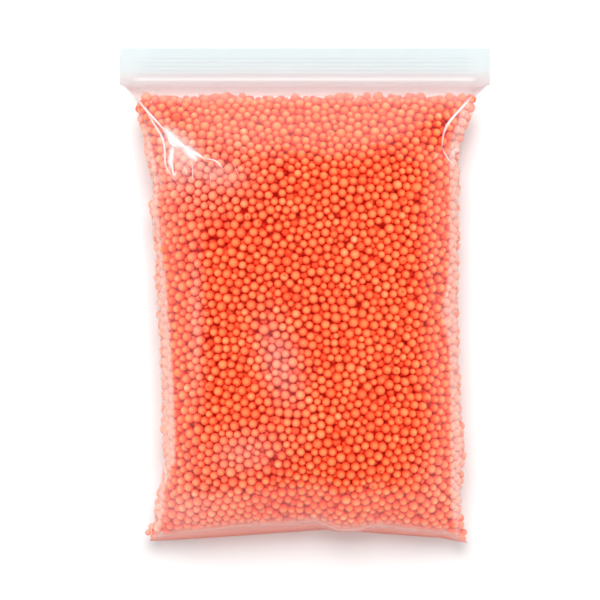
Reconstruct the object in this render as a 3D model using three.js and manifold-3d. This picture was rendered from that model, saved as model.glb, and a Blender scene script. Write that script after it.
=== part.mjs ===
// Clear grip-seal bag, full of small expanded polystyrene beads, lying on its back.
// Millimetres, +Z up. +X runs across the bag, +Y from the bottom fold to the zip.
// Origin: middle of the bag's plan, on the surface that it lies on.

import * as THREE from "three";
import { mergeVertices } from "three/addons/utils/BufferGeometryUtils.js";
import Module from "manifold-3d";

// Bag as it lies filled
const BAG_WIDTH = 140; // flat width at the zip, over the side welds
const BODY_LENGTH = 174.5; // bottom corners to the foot of the zip strip
const STRIP_HEIGHT = 13.5; // foot of the zip strip to the lip edge
const THICKNESS = 45; // resting surface to crown
const WAIST_LEFT = 56.5; // centre line to the side weld where the fill draws it in
const WAIST_RIGHT = 58;
const CORNER_LEFT = 59.5; // centre line to the bottom corners
const CORNER_RIGHT = 62;
const SHOULDER_LEFT = 84; // length below the strip over which each side runs out
const SHOULDER_RIGHT = 58;
const STRIP_OVERHANG = 3.5; // how far the ends of the strip stand out from the shoulders
const CORNER_CUT = 5; // length below the strip over which its ends run into the shoulders
const FOOT = 26; // length above the fold over which the sides run out to the corners
const WEDGE = 48; // length below the strip over which the bag swells to its full thickness
const ROUND_END = 44; // length above the fold over which the bag swells to its full thickness

// Heights of the welds, the strip and the fold above the resting surface
const SEAM_HEIGHT = 20;
const STRIP_LEVEL = 21;
const FOLD_LEVEL = 17;
const CORNER_DROOP = 6; // how much lower the bottom corners hang than the fold

// Film
const FILM = 0.3; // wall
const WELD = 1.2; // width of a side weld
const FOLD = 0.8; // film doubled in the bottom fold
const REST_SPREAD = 1.14; // above 1 the underside is pressed flat over a wider patch

// Where the film gathers or is drawn in. across is a share of the half width, along is from the fold.
const FOLD_EDGE = [
  { across: -1, up: 0.8 },
  { across: 0.13, up: 5.7 },
  { across: 0.2, up: 4.9 },
  { across: 0.32, up: 4.9 },
  { across: 0.83, up: 2.3 },
  { across: 1, up: 0 },
];
// The flap of doubled film from the edge of the fold up to the fill, crimped in three places.
const FLAP = [
  { across: -1, up: 0.6 },
  { across: -0.8, up: 2.4 },
  { across: -0.45, up: 3.4 },
  { across: 0.07, up: 3.3 },
  { across: 0.14, up: 1.2 },
  { across: 0.2, up: 0.4 },
  { across: 0.32, up: 0.4 },
  { across: 0.41, up: 2.4 },
  { across: 0.48, up: 3 },
  { across: 0.8, up: 1.9 },
  { across: 0.86, up: 2.6 },
  { across: 0.92, up: 1 },
  { across: 1, up: 0.5 },
];
const FLAP_REACH = 16; // how far up the panel the crimps of the flap run
const SIDE_DENTS = [
  { side: 1, along: BODY_LENGTH - 26, depth: 2, spread: 6 },
  { side: 1, along: 36, depth: -2.2, spread: 18 },
  { side: -1, along: BODY_LENGTH - 40, depth: 1.4, spread: 4 },
  { side: -1, along: BODY_LENGTH - 47, depth: -1.2, spread: 5 },
  { side: -1, along: 55, depth: 2.4, spread: 32 },
  { side: -1, along: 28, depth: 1.8, spread: 8 },
];
const SHOULDER_HOLLOWS = [
  { across: -0.84, along: BODY_LENGTH - 21, depth: 3, spread: 12 },
  { across: 0.86, along: BODY_LENGTH - 19, depth: 2.6, spread: 11 },
];

// Zip and grip ribs
const TRACK_UP = 2.4; // middle of the zip tracks above the foot of the strip
const TRACK_END = 7; // the tracks stop this far short of the outer edge of each weld
const TRACK_CLEARANCE = 0.35; // between the closed tracks
const TRACK_STEM = 0.6; // web of the male track
const TRACK_CATCH = 0.25; // how far the male head reaches behind each hook
const TRACK_HEAD = 0.4; // height of the male head
const TRACK_HOOK = 0.4; // wall of the female hooks
const STRIP_TAPER = 5; // width over which the strip thins down to each weld
const RIB_COUNT = 5; // on each face of the lip
const RIB_PITCH = 1.5;
const RIB_WIDTH = 0.8;
const RIB_HEIGHT = 0.35;
const RIB_UP = 1.5; // first rib above the middle of the tracks
const ROOT = FILM / 2; // how deep the tracks and ribs are rooted in the film

// Beads
const BEAD_DIAMETER = 3.25; // mean
const BEAD_SPREAD = 0.6; // how far the loose beads differ from the mean, up or down
const LOOSE_COUNT = 20;
const LOOSE_REACH = 0.88; // share of the half width that the loose beads spread over
const HEAD_SPACE = 3.8; // empty film between the foot of the strip and the topmost bead
const BEAD_CLEARANCE = 0.5; // beads to film, and bead to bead
const RELIEF_STEP = 3; // spacing of the heads and dips on the packed beads
const RELIEF_DEPTH = 1.5; // dip between neighbouring bead heads
const HEAD_SHIFT = 0.3; // how far a head strays from its place, as a share of the spacing
const HEAD_UNEVEN = 0.5; // how much lower than the highest a head may lie
const STRAY_ANGLE = 2.4; // turn from each head's stray, and each loose bead's size, to the next

// Curves of the filled form
const SHOULDER_CURVE = 2.6; // above 1 the sides run out mostly close under the strip
const SECTION_CURVE = 2.6; // above 2 the cross section is fuller than an ellipse
const SECTION_CURVE_TOP = 8; // the same at the foot of the strip
const END_CURVE = 2.2; // the same for the lengthwise section at the fold
const SETTLE_CURVE = 1.6; // how softly the underside runs into its flat patch

// Fineness of the film's surface
const FILM_COLUMNS = 28;
const FILM_ROWS = 38;
const STRIP_ROWS = 2;
const CURVE_SAMPLES = 2000;
const NORMAL_STEP = 0.05; // step over which a face's slope is taken
const SEATING_PASSES = 8; // how often a loose bead's seat is bettered

const FILLED_LENGTH = BODY_LENGTH + STRIP_HEIGHT;
const FOLD_Y = -FILLED_LENGTH / 2;
const STRIP_Y = FOLD_Y + BODY_LENGTH;
const TRACK_GAP = 3 * TRACK_CLEARANCE + TRACK_HOOK + TRACK_HEAD; // between the films in the strip
const STRIP_HALF = TRACK_GAP / 2 + FILM; // half the thickness of the flat strip
const TRACK_Y = STRIP_Y + TRACK_UP;
const TRACK_LENGTH = BAG_WIDTH - 2 * TRACK_END;
const BEAD_LARGEST = BEAD_DIAMETER + BEAD_SPREAD;

// How far a surface lies inside the outside of the bag: at the welds, at the fold and through the film
const OUTSIDE = { weld: 0, fold: 0, film: 0 };
const INSIDE = { weld: WELD, fold: FOLD, film: FILM };
const deeper = (surface, depth) => ({
  weld: surface.weld + depth,
  fold: surface.fold + depth,
  film: surface.film + depth,
});
const BEAD_HEADS = deeper(INSIDE, BEAD_CLEARANCE);
const BEAD_DIPS = deeper(BEAD_HEADS, RELIEF_DEPTH);
const THINNEST = 0.1; // half thickness that is left where two faces run together

const wasm = await Module();
wasm.setup();

const clamp01 = (value) => Math.min(Math.max(value, 0), 1);
const bump = (distance) => Math.exp(-distance * distance);
const smoothStep = (value) => THREE.MathUtils.smoothstep(value, 0, 1);

// Distance from the centre line to a side weld.
function halfWidth(side, along) {
  const waist = side < 0 ? WAIST_LEFT : WAIST_RIGHT;
  const corner = side < 0 ? CORNER_LEFT : CORNER_RIGHT;
  const shoulder = side < 0 ? SHOULDER_LEFT : SHOULDER_RIGHT;
  const below = BODY_LENGTH - along;
  const runOut = clamp01(1 - below / shoulder) ** SHOULDER_CURVE;
  const stripEnd = STRIP_OVERHANG * clamp01(1 - below / CORNER_CUT);
  const footing = clamp01(1 - along / FOOT) ** 2;
  let half = waist + (BAG_WIDTH / 2 - STRIP_OVERHANG - waist) * runOut + stripEnd;
  half += (corner - waist) * footing;
  for (const dent of SIDE_DENTS) {
    if (dent.side === side) half -= dent.depth * bump((along - dent.along) / dent.spread);
  }
  return half;
}

// Height of a profile, which runs straight from each of its points to the next.
function heightAt(profile, across) {
  const next = Math.max(1, profile.findIndex((point) => point.across >= across));
  const from = profile[next - 1];
  const to = profile[next];
  return THREE.MathUtils.mapLinear(across, from.across, to.across, from.up, to.up);
}

// Height of the middle of the film pair: the welds at the sides, the fold and the strip at the ends.
function middleHeight(across, along) {
  const fromFold = smoothStep(along / ROUND_END);
  const toStrip = smoothStep(1 - (BODY_LENGTH - along) / WEDGE);
  const droop = CORNER_DROOP * across ** 4 * clamp01(1 - along / FOOT) ** 2;
  const lift = heightAt(FLAP, across) * clamp01(1 - along / FLAP_REACH) ** 2;
  const level = THREE.MathUtils.lerp(FOLD_LEVEL, SEAM_HEIGHT, fromFold);
  return THREE.MathUtils.lerp(level, STRIP_LEVEL, toStrip) - droop + lift;
}

// Swell of the bag, 0 where the two faces run together and 1 at its fullest.
function swell(across, along) {
  const fromFold = Math.sqrt(1 - clamp01(1 - along / ROUND_END) ** END_CURVE);
  const fromStrip = Math.sin((Math.PI / 2) * clamp01((BODY_LENGTH - along) / WEDGE));
  const top = smoothStep(1 - (BODY_LENGTH - along) / WEDGE);
  const power = THREE.MathUtils.lerp(SECTION_CURVE, SECTION_CURVE_TOP, top);
  return fromFold * fromStrip * Math.sqrt(Math.max(0, 1 - Math.abs(across) ** power));
}

// A point on the upper or lower face of a surface of the bag. across runs from -1 at the left weld to 1
// at the right one, along runs from 0 at the fold to BODY_LENGTH at the strip and on up the strip.
function facePoint(upper, across, along, surface) {
  const body = Math.min(along, BODY_LENGTH);
  const half = halfWidth(Math.sign(across), body) - surface.weld;
  const ridge = FOLD_Y + heightAt(FOLD_EDGE, across) + heightAt(FLAP, across) + surface.fold;
  const y = THREE.MathUtils.lerp(ridge, STRIP_Y, body / BODY_LENGTH) + (along - body);

  const middle = middleHeight(across, body);
  const full = swell(across, body);
  const fromWeld = ((1 - Math.abs(across)) * BAG_WIDTH) / 2;
  const inner = Math.sqrt(clamp01(fromWeld / STRIP_TAPER));
  const taper = inner * clamp01(body / FLAP_REACH);
  const flat = (STRIP_HALF - surface.film) * taper;
  const least = Math.max(THINNEST * taper, surface === OUTSIDE ? FILM * inner : 0);
  const point = new THREE.Vector3(across * half, y, middle);
  if (upper) {
    const hollow = SHOULDER_HOLLOWS.reduce((depth, dip) => {
      const aside = ((across - dip.across) * BAG_WIDTH) / 2;
      return depth + dip.depth * bump(Math.hypot(aside, along - dip.along) / dip.spread);
    }, 0);
    point.z += Math.max(flat + (THICKNESS - middle - STRIP_HALF - hollow) * full, least);
  } else {
    const lifted = (1 - clamp01(REST_SPREAD * full)) ** SETTLE_CURVE;
    const floor = surface.film;
    point.z -= Math.max(middle - floor - (middle - flat - floor) * lifted, least);
  }
  return point;
}

// A point on the edge of the bottom fold, below the flap.
function foldEdgePoint(across) {
  const x = across * halfWidth(Math.sign(across), 0);
  return new THREE.Vector3(
    x,
    FOLD_Y + heightAt(FOLD_EDGE, across),
    middleHeight(across, 0) - heightAt(FLAP, across),
  );
}

// Values from start to end at which the points of a curve are evenly spaced.
function evenlyAlong(curve, start, end, count) {
  const at = (i) => start + ((end - start) * i) / CURVE_SAMPLES;
  const lengths = [0];
  for (let i = 1; i <= CURVE_SAMPLES; i++) {
    lengths.push(lengths[i - 1] + curve(at(i)).distanceTo(curve(at(i - 1))));
  }
  let k = 0;
  return Array.from({ length: count + 1 }, (_, i) => {
    const wanted = (lengths[CURVE_SAMPLES] * i) / count;
    while (k < CURVE_SAMPLES - 1 && lengths[k + 1] < wanted) k++;
    return at(k + (wanted - lengths[k]) / (lengths[k + 1] - lengths[k]));
  });
}

function curveLength(curve, start, end) {
  const points = Array.from({ length: CURVE_SAMPLES + 1 }, (_, i) =>
    curve(start + ((end - start) * i) / CURVE_SAMPLES),
  );
  return points.slice(1).reduce((sum, point, i) => sum + point.distanceTo(points[i]), 0);
}

// Adds two triangles for the corners of a quad, leaving out one that has no area.
function addQuad(positions, a, b, c, d) {
  for (const corners of [
    [a, b, c],
    [a, c, d],
  ]) {
    const [p, q, r] = corners;
    if (p.equals(q) || q.equals(r) || r.equals(p)) continue;
    corners.forEach((corner) => positions.push(corner.x, corner.y, corner.z));
  }
}

// Quads between two rows of points. The rows run along +X, and the band faces out when turned is false.
function addBand(positions, first, second, turned = false) {
  for (let i = 0; i + 1 < first.length; i++) {
    const corners = [first[i], first[i + 1], second[i + 1], second[i]];
    addQuad(positions, ...(turned ? corners.reverse() : corners));
  }
}

function geometryOf(positions) {
  const geometry = new THREE.BufferGeometry();
  geometry.setAttribute("position", new THREE.Float32BufferAttribute(positions, 3));
  return mergeVertices(geometry, 1e-4);
}

function solidOf(geometry) {
  const bare = new THREE.BufferGeometry();
  const corners = geometry.index ? geometry.toNonIndexed() : geometry;
  bare.setAttribute("position", corners.getAttribute("position"));
  const merged = mergeVertices(bare, 1e-4);
  return new wasm.Manifold(
    new wasm.Mesh({
      numProp: 3,
      vertProperties: merged.getAttribute("position").array,
      triVerts: new Uint32Array(merged.index.array),
    }),
  );
}

function geometryOfSolid(solid) {
  const mesh = solid.getMesh();
  const geometry = new THREE.BufferGeometry();
  geometry.setAttribute("position", new THREE.BufferAttribute(mesh.vertProperties, 3));
  geometry.setIndex(new THREE.BufferAttribute(mesh.triVerts, 1));
  return geometry;
}

// The film: an outer and an inner sock, closed at the fold and joined around the open lip. The outer one
// runs on below the fill as a flap.
function filmGeometry() {
  const waist = BODY_LENGTH / 2;
  const columns = evenlyAlong((s) => facePoint(true, s, waist, OUTSIDE), -1, 1, FILM_COLUMNS);
  const rows = evenlyAlong((a) => facePoint(true, 0, a, OUTSIDE), 0, BODY_LENGTH, FILM_ROWS);
  for (let i = 1; i <= STRIP_ROWS; i++) rows.push(BODY_LENGTH + (STRIP_HEIGHT * i) / STRIP_ROWS);

  const positions = [];
  const grid = (upper, surface) =>
    rows.map((along) => columns.map((across) => facePoint(upper, across, along, surface)));
  const lips = [];
  for (const surface of [OUTSIDE, INSIDE]) {
    const inwards = surface === INSIDE;
    const front = grid(true, surface);
    const back = grid(false, surface);
    if (!inwards) {
      const edge = columns.map(foldEdgePoint);
      front.unshift(edge);
      back.unshift(edge);
    }
    for (let j = 0; j + 1 < front.length; j++) {
      addBand(positions, front[j], front[j + 1], inwards);
      addBand(positions, back[j], back[j + 1], !inwards);
    }
    lips.push([front.at(-1), back.at(-1)]);
  }
  const [[frontOuter, backOuter], [frontInner, backInner]] = lips;
  addBand(positions, frontOuter, frontInner);
  addBand(positions, backInner, backOuter);
  return geometryOf(positions);
}

// A bar along X with the given outline in the YZ plane, listed anticlockwise seen from +X.
function barGeometry(outline) {
  const shape = new THREE.Shape(outline.map(([y, z]) => new THREE.Vector2(y, z)));
  const bar = new THREE.ExtrudeGeometry(shape, { depth: TRACK_LENGTH, bevelEnabled: false });
  // The extrusion runs along +Z: its own X and Y become Y and Z, and its length runs along X.
  const turn = new THREE.Matrix4().makeBasis(
    new THREE.Vector3(0, 1, 0),
    new THREE.Vector3(0, 0, 1),
    new THREE.Vector3(1, 0, 0),
  );
  return bar.applyMatrix4(turn).translate(-TRACK_LENGTH / 2, TRACK_Y, STRIP_LEVEL);
}

// Male track: a web on the back film with a wider head.
function maleTrack() {
  const stem = TRACK_STEM / 2;
  const head = stem + TRACK_CLEARANCE + TRACK_CATCH;
  const floor = -TRACK_GAP / 2;
  const top = TRACK_GAP / 2 - TRACK_CLEARANCE;
  const neck = top - TRACK_HEAD;
  return barGeometry([
    [-stem, floor - ROOT],
    [stem, floor - ROOT],
    [stem, neck],
    [head, neck],
    [stem, top],
    [-stem, top],
    [-head, neck],
    [-stem, neck],
  ]);
}

// One hook of the female track, on the front film. side is -1 or 1.
function femaleHook(side) {
  const lip = TRACK_STEM / 2 + TRACK_CLEARANCE;
  const wall = lip + TRACK_CATCH + TRACK_CLEARANCE;
  const ceiling = TRACK_GAP / 2 + ROOT;
  const toe = -TRACK_GAP / 2 + TRACK_CLEARANCE;
  const outline = [
    [lip, toe],
    [wall + TRACK_HOOK, toe],
    [wall + TRACK_HOOK, ceiling],
    [wall, ceiling],
    [wall, toe + TRACK_HOOK],
    [lip, toe + TRACK_HOOK],
  ];
  return barGeometry(side > 0 ? outline : outline.map(([y, z]) => [-y, z]).reverse());
}

// One grip rib on the lip. face is 1 on the front and -1 on the back.
function gripRib(index, face) {
  const y = RIB_UP + index * RIB_PITCH;
  const half = RIB_WIDTH / 2;
  const outline = [
    [y - half, STRIP_HALF - ROOT],
    [y + half, STRIP_HALF - ROOT],
    [y + half, STRIP_HALF],
    [y, STRIP_HALF + RIB_HEIGHT],
    [y - half, STRIP_HALF],
  ];
  return barGeometry(face > 0 ? outline : outline.map(([v, z]) => [v, -z]).reverse());
}

function bagGeometry() {
  const bars = [maleTrack(), femaleHook(-1), femaleHook(1)];
  for (let i = 0; i < RIB_COUNT; i++) bars.push(gripRib(i, 1), gripRib(i, -1));
  const bag = bars.reduce((solid, bar) => solid.add(solidOf(bar)), solidOf(filmGeometry()));
  return geometryOfSolid(bag);
}

// The packed beads as one body: every other point of its surface is a bead's head, those between are dips.
function beadFillGeometry() {
  const end = BODY_LENGTH - HEAD_SPACE - BEAD_LARGEST - 2 * BEAD_CLEARANCE;
  const across = (s) => facePoint(true, s, BODY_LENGTH / 2, BEAD_HEADS);
  const lengthwise = (a) => facePoint(true, 0, a, BEAD_HEADS);
  const columnCount = Math.round(curveLength(across, -1, 1) / RELIEF_STEP);
  const rowCount = Math.round(curveLength(lengthwise, 0, end) / RELIEF_STEP);
  const columns = evenlyAlong(across, -1, 1, columnCount);
  const rows = evenlyAlong(lengthwise, 0, end, rowCount);

  const isHead = (i, j) => (i + j) % 2 === 0;
  // A head strays to one side of its place and lies a little lower than the highest heads.
  const headPoint = (upper, i, j) => {
    const turn = STRAY_ANGLE * (i * rowCount + j) * (upper ? 1 : 2);
    const toward = (list, k, share) =>
      THREE.MathUtils.lerp(list[k], list[k + Math.sign(share)], Math.abs(share));
    const s = toward(columns, i, HEAD_SHIFT * Math.cos(turn));
    const along = toward(rows, j, HEAD_SHIFT * Math.sin(turn));
    return facePoint(upper, s, along, deeper(BEAD_HEADS, (HEAD_UNEVEN * (1 + Math.sin(turn * j))) / 2));
  };
  const grid = (upper) =>
    rows.map((along, j) =>
      columns.map((s, i) => {
        const inner = i > 0 && i < columnCount && j > 0 && j < rowCount;
        return isHead(i, j) && inner ? headPoint(upper, i, j) : facePoint(upper, s, along, BEAD_DIPS);
      }),
    );
  const top = grid(true);
  const under = grid(false);
  const positions = [];
  // Each quad is split from dip to dip, so that four triangles rise to every head.
  const addCells = (points, turned) => {
    for (let j = 0; j < rowCount; j++) {
      for (let i = 0; i < columnCount; i++) {
        const corners = [points[j][i], points[j][i + 1], points[j + 1][i + 1], points[j + 1][i]];
        if (isHead(i, j)) corners.push(corners.shift());
        addQuad(positions, ...(turned ? [corners[0], corners[3], corners[2], corners[1]] : corners));
      }
    }
  };
  addCells(top, false);
  addCells(under, true);
  addBand(positions, top.at(-1), under.at(-1));
  return geometryOf(positions);
}

// A loose bead at rest on the back film, with its top at the head space.
function looseBead(index) {
  const radius = (BEAD_DIAMETER + BEAD_SPREAD * Math.sin(STRAY_ANGLE * index)) / 2;
  const across = LOOSE_REACH * ((2 * index) / (LOOSE_COUNT - 1) - 1);
  const wanted = STRIP_Y - HEAD_SPACE - radius;
  let along = BODY_LENGTH - HEAD_SPACE;
  const centre = new THREE.Vector3();
  for (let pass = 0; pass < SEATING_PASSES; pass++) {
    const seat = facePoint(false, across, along, INSIDE);
    const aside = facePoint(false, across + NORMAL_STEP / BAG_WIDTH, along, INSIDE).sub(seat);
    const onward = facePoint(false, across, along + NORMAL_STEP, INSIDE).sub(seat);
    const normal = aside.cross(onward).normalize();
    centre.copy(seat).addScaledVector(normal, radius + BEAD_CLEARANCE);
    along += wanted - centre.y;
  }
  const bead = new THREE.Mesh(new THREE.IcosahedronGeometry(radius, 1), beadFoam);
  bead.position.copy(centre);
  bead.name = "loose_bead_" + String(index + 1).padStart(2, "0");
  return bead;
}

const clearFilm = new THREE.MeshStandardMaterial({
  color: 0xeef6f8,
  roughness: 0.12,
  metalness: 0,
  transparent: true,
  opacity: 0.28,
});
const beadFoam = new THREE.MeshStandardMaterial({ color: 0xf4693c, roughness: 0.7, metalness: 0 });

const bag = new THREE.Mesh(bagGeometry(), clearFilm);
bag.name = "grip_seal_bag";
const fill = new THREE.Mesh(beadFillGeometry(), beadFoam);
fill.name = "bead_fill";

const filledBag = new THREE.Group();
filledBag.add(bag, fill);
for (let i = 0; i < LOOSE_COUNT; i++) filledBag.add(looseBead(i));

export default filledBag;
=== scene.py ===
"""Dresses a clear grip-seal bag of orange polystyrene beads that lies on its back."""

import itertools
import logging
import math
from dataclasses import dataclass, field
from enum import Enum

import bpy
import numpy as np
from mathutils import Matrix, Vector
from mathutils.bvhtree import BVHTree
from mathutils.kdtree import KDTree


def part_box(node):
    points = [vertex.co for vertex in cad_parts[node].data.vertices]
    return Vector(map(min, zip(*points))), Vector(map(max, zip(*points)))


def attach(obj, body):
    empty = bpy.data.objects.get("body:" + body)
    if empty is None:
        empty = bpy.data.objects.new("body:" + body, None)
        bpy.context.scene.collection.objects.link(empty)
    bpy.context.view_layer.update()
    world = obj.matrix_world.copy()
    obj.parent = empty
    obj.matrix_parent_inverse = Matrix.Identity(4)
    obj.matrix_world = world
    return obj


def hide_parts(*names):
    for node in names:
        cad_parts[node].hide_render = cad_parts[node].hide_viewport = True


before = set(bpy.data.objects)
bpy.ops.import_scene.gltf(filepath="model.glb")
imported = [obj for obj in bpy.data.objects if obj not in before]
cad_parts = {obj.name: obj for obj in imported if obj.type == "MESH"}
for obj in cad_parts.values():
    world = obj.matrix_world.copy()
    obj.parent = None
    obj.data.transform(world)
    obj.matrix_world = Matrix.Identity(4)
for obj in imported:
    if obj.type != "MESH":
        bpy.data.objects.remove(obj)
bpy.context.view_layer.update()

LOG = logging.getLogger("bead_bag")
MM = 0.001
BAG_NODE = "grip_seal_bag"
FILL_NODE = "bead_fill"
LOOSE_NODES = sorted(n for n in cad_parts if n.startswith("loose_bead_"))
BODY = "root"
UP = Vector((0, 0, 1))
DOWN = Vector((0, 0, -1))
TINY = 1e-9

Colour = tuple[float, float, float]
Points = tuple[tuple[float, float], ...]
NodeOwner = bpy.types.Material | bpy.types.World


class Panel(Enum):
    """The two film panels of the bag, valued by the way they face."""

    FRONT = 1
    BACK = -1


class Layer(Enum):
    """How deep a bead lies under the film."""

    OUTER = "outer"
    SECOND = "second"
    CORE = "core"


def smooth_step(t: np.ndarray) -> np.ndarray:
    """Eases a value from 0 to 1 with no kink at either end."""
    t = np.clip(t, 0.0, 1.0)
    return t * t * (3.0 - 2.0 * t)


def lerp(a: float | np.ndarray, b: float | np.ndarray, t: np.ndarray) -> np.ndarray:
    """Value t of the way from a to b."""
    return a + (b - a) * t


def bump(distance: np.ndarray) -> np.ndarray:
    """Bell of height 1 that falls off over a distance of about 1."""
    return np.exp(-distance * distance)


def deselect_all() -> None:
    """Leaves object mode with nothing selected."""
    if bpy.context.object and bpy.context.object.mode != "OBJECT":
        bpy.ops.object.mode_set(mode="OBJECT")
    bpy.ops.object.select_all(action="DESELECT")


def choose(piece: bpy.types.Object) -> None:
    """Makes one piece the only selected and the active one.

    Args:
        piece: The piece.
    """
    deselect_all()
    piece.select_set(True)
    bpy.context.view_layer.objects.active = piece


def new_primitive(name: str) -> bpy.types.Object:
    """Names the primitive that was just added, and its mesh.

    Args:
        name: The name.

    Returns:
        The primitive.
    """
    piece = bpy.context.object
    piece.name = name
    piece.data.name = name
    return piece


def settle(piece: bpy.types.Object) -> None:
    """Puts a piece's place, turn and scale into its mesh."""
    choose(piece)
    bpy.ops.object.transform_apply(location=True, rotation=True, scale=True)


def join_pieces(pieces: list[bpy.types.Object], name: str) -> bpy.types.Object:
    """Joins pieces into one.

    Args:
        pieces: The pieces, of which the first is kept.
        name: The name of the joined piece.

    Returns:
        The joined piece, with its place in its mesh.
    """
    deselect_all()
    for piece in pieces:
        piece.select_set(True)
    bpy.context.view_layer.objects.active = pieces[0]
    bpy.ops.object.join()
    return new_primitive(name)


def apply_modifier(piece: bpy.types.Object, kind: str, **values: object) -> None:
    """Adds a modifier with these values to a piece and applies it.

    Args:
        piece: The piece to change.
        kind: Blender's name for the kind of modifier.
        values: The modifier's settings.
    """
    choose(piece)
    modifier = piece.modifiers.new(kind.title(), kind)
    for key, value in values.items():
        setattr(modifier, key, value)
    bpy.ops.object.modifier_apply(modifier=modifier.name)


def vertex_places(piece: bpy.types.Object) -> np.ndarray:
    """The places of a piece's vertices.

    Args:
        piece: The piece.

    Returns:
        The places in metres, one row each.
    """
    places = np.empty(len(piece.data.vertices) * 3)
    piece.data.vertices.foreach_get("co", places)
    return places.reshape(-1, 3)


def move_vertices(piece: bpy.types.Object, places: np.ndarray) -> None:
    """Puts a piece's vertices at these places, in metres."""
    piece.data.vertices.foreach_set("co", places.astype(np.float32).ravel())
    piece.data.update()


def add_grid(name: str, columns: int, rows: int) -> tuple[bpy.types.Object, np.ndarray, np.ndarray]:
    """Adds a flat grid, to be laid on other places.

    Args:
        name: The grid's name.
        columns: How many faces it has across.
        rows: How many faces it has along.

    Returns:
        The grid, and which column and which row each of its vertices is in.
    """
    deselect_all()
    bpy.ops.mesh.primitive_grid_add(x_subdivisions=columns, y_subdivisions=rows, size=2)
    grid = new_primitive(name)
    places = (vertex_places(grid)[:, :2] + 1) / 2
    column = np.rint(places[:, 0] * columns).astype(int)
    row = np.rint(places[:, 1] * rows).astype(int)
    return grid, column, row


def write_values(mesh: bpy.types.Mesh, name: str, values: np.ndarray) -> None:
    """Writes a value for each vertex of a mesh, under a name that its material reads."""
    attribute = mesh.attributes.new(name, "FLOAT", "POINT")
    attribute.data.foreach_set("value", values.astype(np.float32).ravel())


@dataclass(frozen=True)
class Dent:
    """A shallow bell in the outline or in the film, in millimetres."""

    across: float
    along: float
    depth: float
    spread: float


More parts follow.
